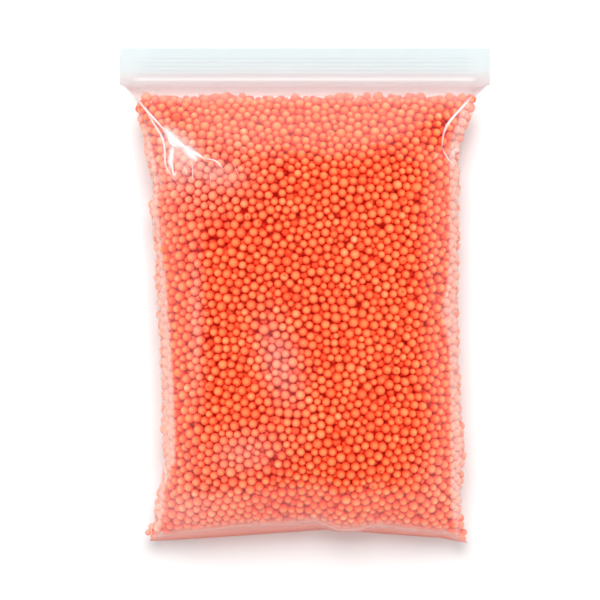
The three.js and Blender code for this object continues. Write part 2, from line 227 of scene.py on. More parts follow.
@dataclass(frozen=True)
class BagForm:
    """The filled bag's shape in millimetres, with along counted up from the bottom fold."""

    width: float
    body: float
    thickness: float
    strip: float = 13.5
    waist: tuple[float, float] = (56.5, 58.0)
    corner: tuple[float, float] = (59.5, 62.0)
    shoulder: tuple[float, float] = (84.0, 58.0)
    overhang: float = 3.5
    corner_cut: float = 5.0
    foot: float = 26.0
    wedge: float = 48.0
    round_end: float = 44.0
    seam_height: float = 20.0
    strip_level: float = 21.0
    fold_level: float = 17.0
    corner_droop: float = 6.0
    rest_spread: float = 1.14
    fold_edge: Points = ((-1.0, 0.8), (0.13, 5.7), (0.2, 4.9), (0.32, 4.9), (0.83, 2.3), (1.0, 0.0))
    flap: Points = (
        *((-1.0, 0.6), (-0.8, 2.4), (-0.45, 3.4), (0.07, 3.3), (0.14, 1.2), (0.2, 0.4)),
        *((0.32, 0.4), (0.41, 2.4), (0.48, 3.0), (0.8, 1.9), (0.86, 2.6), (0.92, 1.0), (1.0, 0.5)),
    )
    flap_half: float = 0.3
    flap_reach: float = 16.0
    side_dents: tuple[Dent, ...] = (
        Dent(1.0, 148.5, 2.0, 6.0),
        Dent(1.0, 36.0, -2.2, 18.0),
        Dent(-1.0, 134.5, 1.4, 4.0),
        Dent(-1.0, 127.5, -1.2, 5.0),
        Dent(-1.0, 55.0, 2.4, 32.0),
        Dent(-1.0, 28.0, 1.8, 8.0),
    )
    hollows: tuple[Dent, ...] = (
        Dent(-0.84, 153.5, 3.0, 12.0),
        Dent(0.86, 155.5, 2.6, 11.0),
    )
    strip_half: float = 1.325
    strip_taper: float = 5.0
    thinnest: float = 0.1
    shoulder_curve: float = 2.6
    section_curve: float = 2.6
    section_curve_top: float = 8.0
    end_curve: float = 2.2
    settle_curve: float = 1.6
    facet_from: float = 30.0
    facet_to: float = 124.0
    facet_fade: float = 7.0
    facet_depth: float = 0.7
    facet_crease: tuple[float, float] = (0.885, 0.955)

    @classmethod
    def of_frame(cls) -> "BagForm":
        """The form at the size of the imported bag.

        Returns:
            The form.
        """
        low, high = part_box(BAG_NODE)
        size = (high - low) / MM
        return cls(width=size.x, body=size.y - cls.strip, thickness=size.z)

    @property
    def fold_y(self) -> float:
        """Where the bottom fold's corners lie along Y."""
        return -(self.body + self.strip) / 2

    @property
    def strip_y(self) -> float:
        """Where the film body meets the zip strip along Y."""
        return self.fold_y + self.body

    def half_width(self, across: np.ndarray, along: np.ndarray) -> np.ndarray:
        """Distance from the middle line out to the weld.

        Args:
            across: From -1 at the left weld to 1 at the right weld.
            along: Distance up the panel from the bottom fold.

        Returns:
            The distance on the side of each place.
        """
        right = across >= 0
        waist = np.where(right, self.waist[1], self.waist[0])
        corner = np.where(right, self.corner[1], self.corner[0])
        shoulder = np.where(right, self.shoulder[1], self.shoulder[0])
        below = self.body - along
        lift = np.clip(1 - below / shoulder, 0, 1) ** self.shoulder_curve
        half = waist + (self.width / 2 - self.overhang - waist) * lift
        half = half + self.overhang * np.clip(1 - below / self.corner_cut, 0, 1)
        half = half + (corner - waist) * np.clip(1 - along / self.foot, 0, 1) ** 2
        for dent in self.side_dents:
            near = bump((along - dent.along) / dent.spread)
            half = half - dent.depth * near * (right == (dent.across > 0))
        return half

    def flap_height(self, across: np.ndarray) -> np.ndarray:
        """How far the flat flap runs up from the edge of the bottom fold."""
        return np.interp(across, *np.array(self.flap).T)

    def middle(self, across: np.ndarray, along: np.ndarray) -> np.ndarray:
        """Height of the welds and of the plane between the two panels.

        Args:
            across: From -1 at the left weld to 1 at the right weld.
            along: Distance up the panel from the bottom fold.

        Returns:
            The height at each place.
        """
        below = self.body - along
        rise = lerp(self.fold_level, self.seam_height, smooth_step(along / self.round_end))
        level = lerp(rise, self.strip_level, smooth_step(1 - below / self.wedge))
        droop = across**4 * np.clip(1 - along / self.foot, 0, 1) ** 2
        tuck = np.clip(1 - along / self.flap_reach, 0, 1) ** 2
        return level - self.corner_droop * droop + self.flap_height(across) * tuck

    @staticmethod
    def rounded(across: np.ndarray, power: np.ndarray) -> np.ndarray:
        """Height of the rounded cross-section, from 1 in the middle to 0 at the welds."""
        return np.sqrt(np.clip(1 - np.abs(across) ** power, 0, 1))

    def facet_loss(self, across: np.ndarray, along: np.ndarray) -> np.ndarray:
        """What the flat facet along the left side takes off the rounded section.

        Args:
            across: From -1 at the left weld to 1 at the right weld.
            along: Distance up the panel from the bottom fold.

        Returns:
            The share at each place.
        """
        t = (along - self.facet_from) / (self.facet_to - self.facet_from)
        crease = lerp(self.facet_crease[0], self.facet_crease[1], np.clip(t, 0, 1))
        start = smooth_step((along - self.facet_from) / self.facet_fade)
        end = smooth_step((self.facet_to - along) / self.facet_fade)
        straight = self.rounded(crease, self.section_curve) * (1 - np.abs(across)) / (1 - crease)
        loss = self.rounded(across, self.section_curve) - straight
        return self.facet_depth * loss * start * end * (across < -crease)

    def swell(self, across: np.ndarray, along: np.ndarray) -> np.ndarray:
        """How full the bag is.

        Args:
            across: From -1 at the left weld to 1 at the right weld.
            along: Distance up the panel from the bottom fold.

        Returns:
            The share at each place, from 0 at the welds and ends to 1 at the crown.
        """
        below = self.body - along
        top = smooth_step(1 - below / self.wedge)
        power = lerp(self.section_curve, self.section_curve_top, top)
        section = self.rounded(across, power)
        foot = np.sqrt(np.clip(1 - np.clip(1 - along / self.round_end, 0, 1) ** self.end_curve, 0, 1))
        return foot * np.sin(math.pi / 2 * np.clip(below / self.wedge, 0, 1)) * section

    def surface(self, panel: Panel, across: np.ndarray, along: np.ndarray) -> np.ndarray:
        """Places on the outside of a film panel.

        Args:
            panel: The panel.
            across: From -1 at the left weld to 1 at the right weld.
            along: From -1 at the fold's edge to 0 at the top of its flap, then the distance up
                the panel, past the body onto the strip.

        Returns:
            The places in millimetres, one row of x, y and z each.
        """
        level = np.clip(along, 0, self.body)
        x = across * self.half_width(across, level)
        flap = self.flap_height(across)
        edge = np.clip(-along, 0, 1)
        ridge = self.fold_y + np.interp(across, *np.array(self.fold_edge).T) + flap
        y = lerp(ridge, self.strip_y, level / self.body) - flap * edge
        y = y + np.maximum(along - self.body, 0)
        middle = self.middle(across, level)
        swell = self.swell(across, level)
        inner = np.sqrt(np.clip((1 - np.abs(across)) * self.width / 2 / self.strip_taper, 0, 1))
        taper = inner * np.clip(level / self.flap_reach, 0, 1)
        flat = self.strip_half * taper
        least = np.maximum(self.thinnest * taper, self.flap_half * inner * (1 - edge))
        if panel is Panel.FRONT:
            crown = self.thickness - middle - self.strip_half
            for dip in self.hollows:
                away = np.hypot((across - dip.across) * self.width / 2, along - dip.along)
                crown = crown - dip.depth * bump(away / dip.spread)
            loss = crown * self.facet_loss(across, along)
            z = middle + np.maximum(flat + crown * swell - loss, least)
        else:
            lifted = (1 - np.clip(self.rest_spread * swell, 0, 1)) ** self.settle_curve
            z = middle - np.maximum(middle - (middle - flat) * lifted, least)
        return np.stack([x, y, z - flap * edge], axis=-1)


@dataclass(frozen=True)
class HazeStop:
    """The film's milky haze at one height up the bag, in millimetres; its colour holds painted light from
    the beads below the strip.
    """

    y: float
    colour: Colour
    haze: float


def add_node(owner: NodeOwner, kind: str, **values: object) -> bpy.types.Node:
    """Adds a node to a material or to the world.

    Args:
        owner: The material or the world.
        kind: Blender's name for the kind of node.
        values: Settings of the node, or default values by the name of an input.

    Returns:
        The node.
    """
    node = owner.node_tree.nodes.new(kind)
    for key, value in values.items():
        if hasattr(node, key):
            setattr(node, key, value)
        else:
            node.inputs[key].default_value = value
    return node


def link(owner: NodeOwner, source: bpy.types.NodeSocket, target: bpy.types.NodeSocket) -> None:
    """Links one socket of a material or of the world to another."""
    owner.node_tree.links.new(source, target)


def work_out(
    owner: NodeOwner, operation: str, *terms: float | bpy.types.NodeSocket, clamp: bool = False
) -> bpy.types.NodeSocket:
    """Adds a node that does a sum.

    Args:
        owner: The material or the world.
        operation: Blender's name for the operation.
        terms: The inputs in their order, each a number or a socket.
        clamp: Whether the result is kept between 0 and 1.

    Returns:
        The socket with the result.
    """
    node = add_node(owner, "ShaderNodeMath", operation=operation, use_clamp=clamp)
    for target, term in zip(node.inputs, terms):
        if isinstance(term, bpy.types.NodeSocket):
            link(owner, term, target)
        else:
            target.default_value = term
    return node.outputs[0]


def mix_shaders(
    material: bpy.types.Material,
    share: bpy.types.NodeSocket,
    first: bpy.types.NodeSocket,
    second: bpy.types.NodeSocket,
) -> bpy.types.NodeSocket:
    """Mixes two shaders.

    Args:
        material: The material.
        share: How much of the second one shows.
        first: The first shader.
        second: The second shader.

    Returns:
        The socket with the mixed shader.
    """
    node = add_node(material, "ShaderNodeMixShader")
    for target, source in zip(node.inputs, (share, first, second)):
        link(material, source, target)
    return node.outputs[0]


def bare_material(name: str) -> bpy.types.Material:
    """A material whose nodes are cleared, for a shader of its own.

    Args:
        name: The material's name.

    Returns:
        The material.
    """
    material = bpy.data.materials.new(name)
    material.use_nodes = True
    material.node_tree.nodes.clear()
    return material


@dataclass(frozen=True)
class PaintedReflectionPatch:
    """A soft patch of painted reflection on the front film or on the beads under it, in millimetres and
    degrees.
    """

    x: float
    y: float
    reach: tuple[float, float]
    turn: float
    haze: float

    def share(self, x: np.ndarray, y: np.ndarray) -> np.ndarray:
        """How thick the patch is at these places.

        Args:
            x: Places across the bag.
            y: Places along the bag.

        Returns:
            The patch's haze at each place.
        """
        angle = math.radians(self.turn)
        u = (x - self.x) * math.cos(angle) + (y - self.y) * math.sin(angle)
        v = (y - self.y) * math.cos(angle) - (x - self.x) * math.sin(angle)
        return self.haze * bump(np.hypot(u / self.reach[0], v / self.reach[1]))


@dataclass(frozen=True)
class PaintedSheenStrip:
    """A strip of painted sheen along one side, outwards of a line given from the bottom up: the pale
    reflection on the film's side, laid into its haze and onto the beads' colour.
    """

    side: int
    line: Points
    haze: float
    edge: float
    fade: float = 5.0

    def share(self, x: np.ndarray, y: np.ndarray) -> np.ndarray:
        """How thick the strip is at these places.

        Args:
            x: Places across the bag.
            y: Places along the bag.

        Returns:
            The strip's haze at each place.
        """
        points = np.array(self.line)
        inner = np.interp(y, points[:, 1], points[:, 0])
        ends = smooth_step((y - points[0, 1]) / self.fade)
        ends = ends * smooth_step((points[-1, 1] - y) / self.fade)
        return self.haze * smooth_step((x - inner) * self.side / self.edge) * ends


# Painted sheen: the pale pink reflection on the flat facet along the bag's left side, and along its right
# side below.
LEFT_PAINTED_SHEEN = PaintedSheenStrip(
    side=-1,
    line=(
        *((-55.6, -93.0), (-54.5, -87.0), (-53.0, -80.0), (-52.6, -72.0), (-50.6, -66.0)),
        *((-48.2, -61.4), (-48.2, -50.1), (-49.0, -35.0), (-50.1, -16.2), (-51.6, 2.7)),
        *((-53.1, 13.2), (-54.3, 25.3), (-55.0, 44.1), (-55.8, 51.6), (-58.4, 61.0), (-62.5, 72.3)),
    ),
    haze=0.58,
    edge=1.2,
)
RIGHT_PAINTED_SHEEN = PaintedSheenStrip(
    side=1,
    line=(
        *((55.4, -86.6), (54.2, -76.4), (53.8, -50.1), (53.9, -38.8), (53.3, -18.0)),
        *((51.8, -11.6), (50.2, -5.6), (51.0, -1.1), (52.6, 4.5), (53.2, 13.2), (53.5, 23.4)),
        *((53.5, 36.6), (53.6, 49.7), (54.8, 60.0), (58.0, 70.0), (60.0, 76.0)),
    ),
    haze=0.52,
    edge=1.4,
)


@dataclass(frozen=True)
class ZipStrip:
    """The grip seal's low ribs, darkened with painted shade, and its closing rail, whitened partly as a
    painted highlight, in millimetres along Y.
    """

    ribs: tuple[float, ...] = (90.4, 88.9, 87.4, 85.9, 84.4)
    rib_height: float = 0.14
    rib_width: float = 0.42
    rib_painted_shade: float = 0.965
    rail: float = 82.2
    rail_height: float = 0.1
    rail_width: float = 0.6
    rail_haze: float = 0.9
    rail_colour_and_highlight: Colour = (1.0, 0.98, 0.98)
    end: float = 65.5
    end_fade: float = 4.0

    def _ends(self, x: np.ndarray) -> np.ndarray:
        """Fades the ribs and the rail out towards the ends of the strip."""
        return smooth_step((self.end - np.abs(x)) / self.end_fade)

    def rib_share(self, x: np.ndarray, y: np.ndarray) -> np.ndarray:
        """How much of a rib is at these places.

        Args:
            x: Places across the bag.
            y: Places along the bag.

        Returns:
            The share at each place, from 0 to 1.
        """
        share = np.zeros_like(y)
        for rib in self.ribs:
            share = np.maximum(share, bump((y - rib) / self.rib_width))
        return share * self._ends(x)

    def rail_share(self, x: np.ndarray, y: np.ndarray) -> np.ndarray:
        """How much of the rail is at these places, from 0 to 1."""
        return bump((y - self.rail) / self.rail_width) * self._ends(x)

    def lift(self, x: np.ndarray, y: np.ndarray) -> np.ndarray:
        """How far the ribs and the rail stand off the film."""
        return self.rib_height * self.rib_share(x, y) + self.rail_height * self.rail_share(x, y)


@dataclass(frozen=True)
class FilmFinish:
    """Thin clear polyethylene: gloss over a milky haze that thickens at a slant, with painted light laid
    into the haze's colour.
    """

    name: str = "clear_film"
    ior: float = 1.5
    gloss: float = 2.2
    most_gloss: float = 0.97
    roughness: float = 0.16
    slant_haze: float = 0.08
    slant_power: float = 2.0
    shadow_share: float = 0.85
    # Painted light: pink light from the beads, laid into the haze just above them and on the bottom flap,
    # darker towards the fold's edge as painted shade.
    painted_bead_light: Colour = (0.98, 0.42, 0.36)
    painted_fold_shade: Colour = (0.66, 0.19, 0.145)
    blush_haze: float = 0.92
    blush_reach: float = 4.0
    blush_spread: float = 0.86
    most_haze: float = 0.97
    strip_from: float = 79.2
    end_x: float = 56.0
    end_reach: float = 12.0
    end_share: float = 0.12
    # A near-white for the strip's ends, and for the painted glare, reflections and glints.
    pale: Colour = (0.97, 0.95, 0.94)
    rim: float = 0.02
    # Below the rail the colours are painted pink light from the beads, darkest just below the rail as
    # painted shade; above it, the strip's own cool tone.
    stops: tuple[HazeStop, ...] = (
        HazeStop(72.0, (0.95, 0.45, 0.37), 0.004),
        HazeStop(74.2, (0.88, 0.43, 0.36), 0.32),
        HazeStop(75.8, (0.68, 0.37, 0.33), 0.48),
        HazeStop(77.4, (0.55, 0.30, 0.28), 0.60),
        HazeStop(79.2, (0.48, 0.26, 0.24), 0.64),
        HazeStop(81.2, (0.58, 0.46, 0.46), 0.66),
        HazeStop(83.5, (0.64, 0.58, 0.585), 0.78),
        HazeStop(86.0, (0.61, 0.68, 0.69), 0.80),
        HazeStop(89.0, (0.61, 0.69, 0.70), 0.80),
        HazeStop(93.0, (0.61, 0.715, 0.735), 0.80),
    )
    # Painted sheen along the sides, laid into the film's haze in a pale pink.
    painted_facet_sheens: tuple[tuple[PaintedSheenStrip, float], ...] = ((LEFT_PAINTED_SHEEN, 0.85), (RIGHT_PAINTED_SHEEN, 0.42))
    painted_facet_sheen_colour: Colour = (1.0, 0.58, 0.48)
    # Painted glare near the top corners and painted soft reflections lower down, laid into the film's haze
    # in the pale colour.
    painted_reflections: tuple[PaintedReflectionPatch, ...] = (
        PaintedReflectionPatch(-48.0, 57.5, (8.0, 4.5), -40.0, 0.36),
        PaintedReflectionPatch(-47.5, 49.5, (7.0, 6.0), -25.0, 0.18),
        PaintedReflectionPatch(-33.0, 46.5, (9.0, 4.5), -20.0, 0.14),
        PaintedReflectionPatch(56.5, 54.0, (3.0, 3.6), 0.0, 0.24),
        PaintedReflectionPatch(58.0, 66.0, (4.5, 11.0), 0.0, 0.08),
        PaintedReflectionPatch(-40.5, -8.0, (1.8, 26.0), 0.0, 0.05),
        PaintedReflectionPatch(-9.5, -24.0, (6.0, 14.0), 16.0, 0.06),
        PaintedReflectionPatch(-22.0, -58.0, (12.0, 6.0), 10.0, 0.05),
        PaintedReflectionPatch(-48.0, -80.0, (10.0, 8.0), 0.0, 0.10),
    )

    def material(self) -> bpy.types.Material:
        """Builds the material.

        Returns:
            The film's material.
        """
        material = bare_material(self.name)
        clear = add_node(material, "ShaderNodeBsdfTransparent", Color=(1, 1, 1, 1))
        milk_and_painted_light = add_node(material, "ShaderNodeBsdfDiffuse")
        gloss = add_node(material, "ShaderNodeBsdfGlossy", Roughness=self.roughness)
        # The haze colour holds painted light as well as the film's milky tone.
        tint_and_painted_light = add_node(material, "ShaderNodeAttribute", attribute_name="milk_and_painted_light")
        link(material, tint_and_painted_light.outputs["Color"], milk_and_painted_light.inputs["Color"])
        haze = add_node(material, "ShaderNodeAttribute", attribute_name="haze").outputs["Fac"]
        counted = self._counted(material)
        facing = add_node(material, "ShaderNodeLayerWeight", Blend=0.5).outputs["Facing"]
        steep = work_out(material, "POWER", facing, self.slant_power)
        veil_and_painted_sheen = work_out(material, "MULTIPLY_ADD", steep, self.slant_haze, haze)
        once = work_out(material, "MULTIPLY", veil_and_painted_sheen, counted, clamp=True)
        sheet = mix_shaders(material, once, clear.outputs[0], milk_and_painted_light.outputs[0])
        fresnel = add_node(material, "ShaderNodeFresnel", IOR=self.ior).outputs[0]
        both = work_out(material, "MULTIPLY", fresnel, self.gloss)
        least = work_out(material, "MINIMUM", both, self.most_gloss)
        bare = work_out(material, "SUBTRACT", 1.0, haze, clamp=True)
        shiny = work_out(material, "MULTIPLY", least, bare)
        mirror = work_out(material, "MULTIPLY", shiny, counted, clamp=True)
        surface = mix_shaders(material, mirror, sheet, gloss.outputs[0])
        output = add_node(material, "ShaderNodeOutputMaterial")
        link(material, surface, output.inputs["Surface"])
        return material

    def _counted(self, material: bpy.types.Material) -> bpy.types.NodeSocket:
        """Counts only the outer face of the sheet, and little of it for light on its way in.

        Args:
            material: The film's material.

        Returns:
            The socket with how much of the film counts.
        """
        behind = add_node(material, "ShaderNodeNewGeometry").outputs["Backfacing"]
        front = work_out(material, "SUBTRACT", 1.0, behind)
        shadow = add_node(material, "ShaderNodeLightPath").outputs["Is Shadow Ray"]
        share = work_out(material, "MULTIPLY_ADD", shadow, -self.shadow_share, 1.0)
        seen = work_out(material, "MULTIPLY", front, share)
        outer = add_node(material, "ShaderNodeAttribute", attribute_name="outer")
        return work_out(material, "MULTIPLY", seen, outer.outputs["Fac"])

    def milk_and_painted_light(
        self,
        form: BagForm,
        places: np.ndarray,
        across: np.ndarray,
        along: np.ndarray,
        panel: Panel,
        seal: ZipStrip,
    ) -> tuple[np.ndarray, np.ndarray, np.ndarray]:
        """The film's haze and the light painted into it: pink bead light beside the beads, painted sheen,
        glare, highlight and rib shade on the front, and cool on the strip.

        Args:
            form: The bag's shape.
            places: Each vertex's place, in millimetres.
            across: How far across the panel each vertex is, from -1 to 1.
            along: Distance of each vertex up the panel from the bottom fold.
            panel: The panel that the vertices are on.
            seal: The grip seal.

        Returns:
            Each vertex's haze colour, how thick its haze is, and how much of the film shows there.
        """
        seen = smooth_step((1 - np.abs(across)) / self.rim)
        seen = np.where((along > 0) & (along < form.body), seen, 1.0)
        x, y = places[:, 0], np.maximum(along, 0) + form.fold_y
        heights = [stop.y for stop in self.stops]
        shades_and_painted_light = np.array([stop.colour for stop in self.stops])
        colour = np.stack([np.interp(y, heights, shades_and_painted_light[:, i]) for i in range(3)], axis=-1)
        haze = np.interp(y, heights, [stop.haze for stop in self.stops])
        ends = smooth_step((np.abs(x) - self.end_x) / self.end_reach) * (y > self.strip_from)
        colour = lerp(colour, np.array(self.pale), self.end_share * ends[:, None])
        # Painted light from the beads near the bottom fold, with painted shade at the flap's edge.
        low = np.clip(1 - np.maximum(along, 0) / self.blush_reach, 0, 1)
        edge = np.clip(-along, 0, 1)
        fold = lerp(np.array(self.painted_bead_light), np.array(self.painted_fold_shade), (edge**2)[:, None])
        colour = lerp(colour, fold, (low**0.5)[:, None])
        haze = np.maximum(haze, np.where(along < 0, self.blush_haze, self.blush_spread * low))
        if panel is Panel.BACK:
            return colour, haze, seen
        # Painted shade: the film is darkened along each rib.
        colour = colour * (1 - (1 - seal.rib_painted_shade) * seal.rib_share(x, y))[:, None]
        # The rail's near-white haze is partly its milky plastic and partly a painted highlight.
        extra = [(seal.rail_haze * seal.rail_share(x, y), seal.rail_colour_and_highlight)]
        # Painted reflections laid into the haze in the pale colour.
        extra += [(patch.share(x, places[:, 1]), self.pale) for patch in self.painted_reflections]
        # Painted sheen along the sides, laid into the haze.
        for strip, part in self.painted_facet_sheens:
            extra.append((part * strip.share(x, places[:, 1]), self.painted_facet_sheen_colour))
        for share, shade in extra:
            total = haze + share
            colour = lerp(colour, np.array(shade), (share / total)[:, None])
            haze = total
        return colour, np.minimum(haze, self.most_haze), seen


@dataclass(frozen=True)
class BeadFinish:
    """Matte dyed foam, with a painted highlight where a bead faces out, painted shade at its rim and a
    painted red glow for the light that soaks through it.
    """

    name: str = "bead_foam"
    # Painted light: a ramp from painted shade in the gaps and at the rims to a painted highlight where a
    # bead faces out.
    shades_and_painted_light: tuple[Colour, ...] = (
        (1.0, 0.020, 0.012),
        (1.0, 0.060, 0.023),
        (1.0, 0.150, 0.050),
        (1.0, 0.330, 0.120),
        (1.0, 0.520, 0.300),
    )
    places: tuple[float, ...] = (0.0, 0.38, 0.70, 0.90, 1.0)
    roughness: float = 0.75
    specular: float = 0.15
    painted_red_glow: Colour = (1.0, 0.03, 0.02)
    painted_glow_strength: float = 0.055
    # Painted reflection: the pale pink that the beads take where the film's sheen lies over them.
    painted_sheen_colour: Colour = (1.0, 0.62, 0.52)

    def material(self) -> bpy.types.Material:
        """Builds the material, which reads the painted light and the colour from the beads' mesh.

        Returns:
            The beads' material.
        """
        material = bpy.data.materials.new(self.name)
        material.use_nodes = True
        shader = material.node_tree.nodes["Principled BSDF"]
        shader.inputs["Roughness"].default_value = self.roughness
        shader.inputs["Specular IOR Level"].default_value = self.specular
        # Painted glow: a faint red emission stands in for red light that soaks through the foam.
        shader.inputs["Emission Color"].default_value = (*self.painted_red_glow, 1)
        shader.inputs["Emission Strength"].default_value = self.painted_glow_strength
        tint_and_painted_light = add_node(material, "ShaderNodeAttribute", attribute_name="tint_and_painted_light")
        ramp = add_node(material, "ShaderNodeValToRGB")
        elements = ramp.color_ramp.elements
        for place in self.places[1:-1]:
            elements.new(place)
        for element, place, shade in zip(elements, self.places, self.shades_and_painted_light):
            element.position = place
            element.color = (*shade, 1)
        link(material, tint_and_painted_light.outputs["Fac"], ramp.inputs["Fac"])
        # Painted reflection: the share of the pale colour laid over the ramp.
        veil_and_painted_sheen = add_node(material, "ShaderNodeAttribute", attribute_name="veil_and_painted_sheen")
        mixed = add_node(material, "ShaderNodeMix", data_type="RGBA")
        colours = [socket for socket in mixed.inputs if socket.type == "RGBA"]
        colours[1].default_value = (*self.painted_sheen_colour, 1)
        link(material, veil_and_painted_sheen.outputs["Fac"], mixed.inputs["Factor"])
        link(material, ramp.outputs["Color"], colours[0])
        mixed_colour = next(socket for socket in mixed.outputs if socket.type == "RGBA")
        link(material, mixed_colour, shader.inputs["Base Color"])
        return material


@dataclass(frozen=True)
class Ridge:
    """A pinched crease that stands off the front film, in millimetres."""

    path: Points
    height: float
    width: float
    tip: float = 0.03

    def lift(self, x: np.ndarray, y: np.ndarray) -> np.ndarray:
        """How far the crease lifts the film at these places.

        Args:
            x: Places across the bag.
            y: Places along the bag.

        Returns:
            The lift at each place.
        """
        nearest = np.full(x.shape, np.inf)
        reached = np.zeros(x.shape)
        legs = np.array(self.path)
        steps = np.linalg.norm(np.diff(legs, axis=0), axis=1)
        total = steps.sum()
        done = 0.0
        for start, end, step in zip(legs[:-1], legs[1:], steps):
            way = (end - start) / step
            t = np.clip((x - start[0]) * way[0] + (y - start[1]) * way[1], 0, step)
            away = np.hypot(x - start[0] - way[0] * t, y - start[1] - way[1] * t)
            closer = away < nearest
            nearest = np.where(closer, away, nearest)
            reached = np.where(closer, (done + t) / total, reached)
            done += step
        reached = np.clip(reached, self.tip, 1 - self.tip)
        return self.height * np.exp(-nearest / self.width) * np.sin(math.pi * reached)


@dataclass(frozen=True)
class Crease:
    """A sharp fold in the front film, in millimetres, whitened in its haze: partly stress-whitened film and
    partly a painted glint.
    """

    path: Points
    width: float = 0.4
    rise: float = 0.25
    haze: float = 0.75

    def line(self, step: float, rounding: int = 6) -> np.ndarray:
        """Places along the fold, rounded at the corners of its path.

        Args:
            step: How far apart the places are.
            rounding: How many times each place is eased towards its neighbours.

        Returns:
            The places, one row of x and y each.
        """
        legs = np.array(self.path)
        reached = np.concatenate([[0], np.cumsum(np.linalg.norm(np.diff(legs, axis=0), axis=1))])
        even = np.linspace(0, reached[-1], max(5, int(reached[-1] / step)))
        places = np.stack([np.interp(even, reached, legs[:, i]) for i in range(2)], axis=-1)
        for _ in range(rounding):
            places[1:-1] = (places[:-2] + 2 * places[1:-1] + places[2:]) / 4
        return places


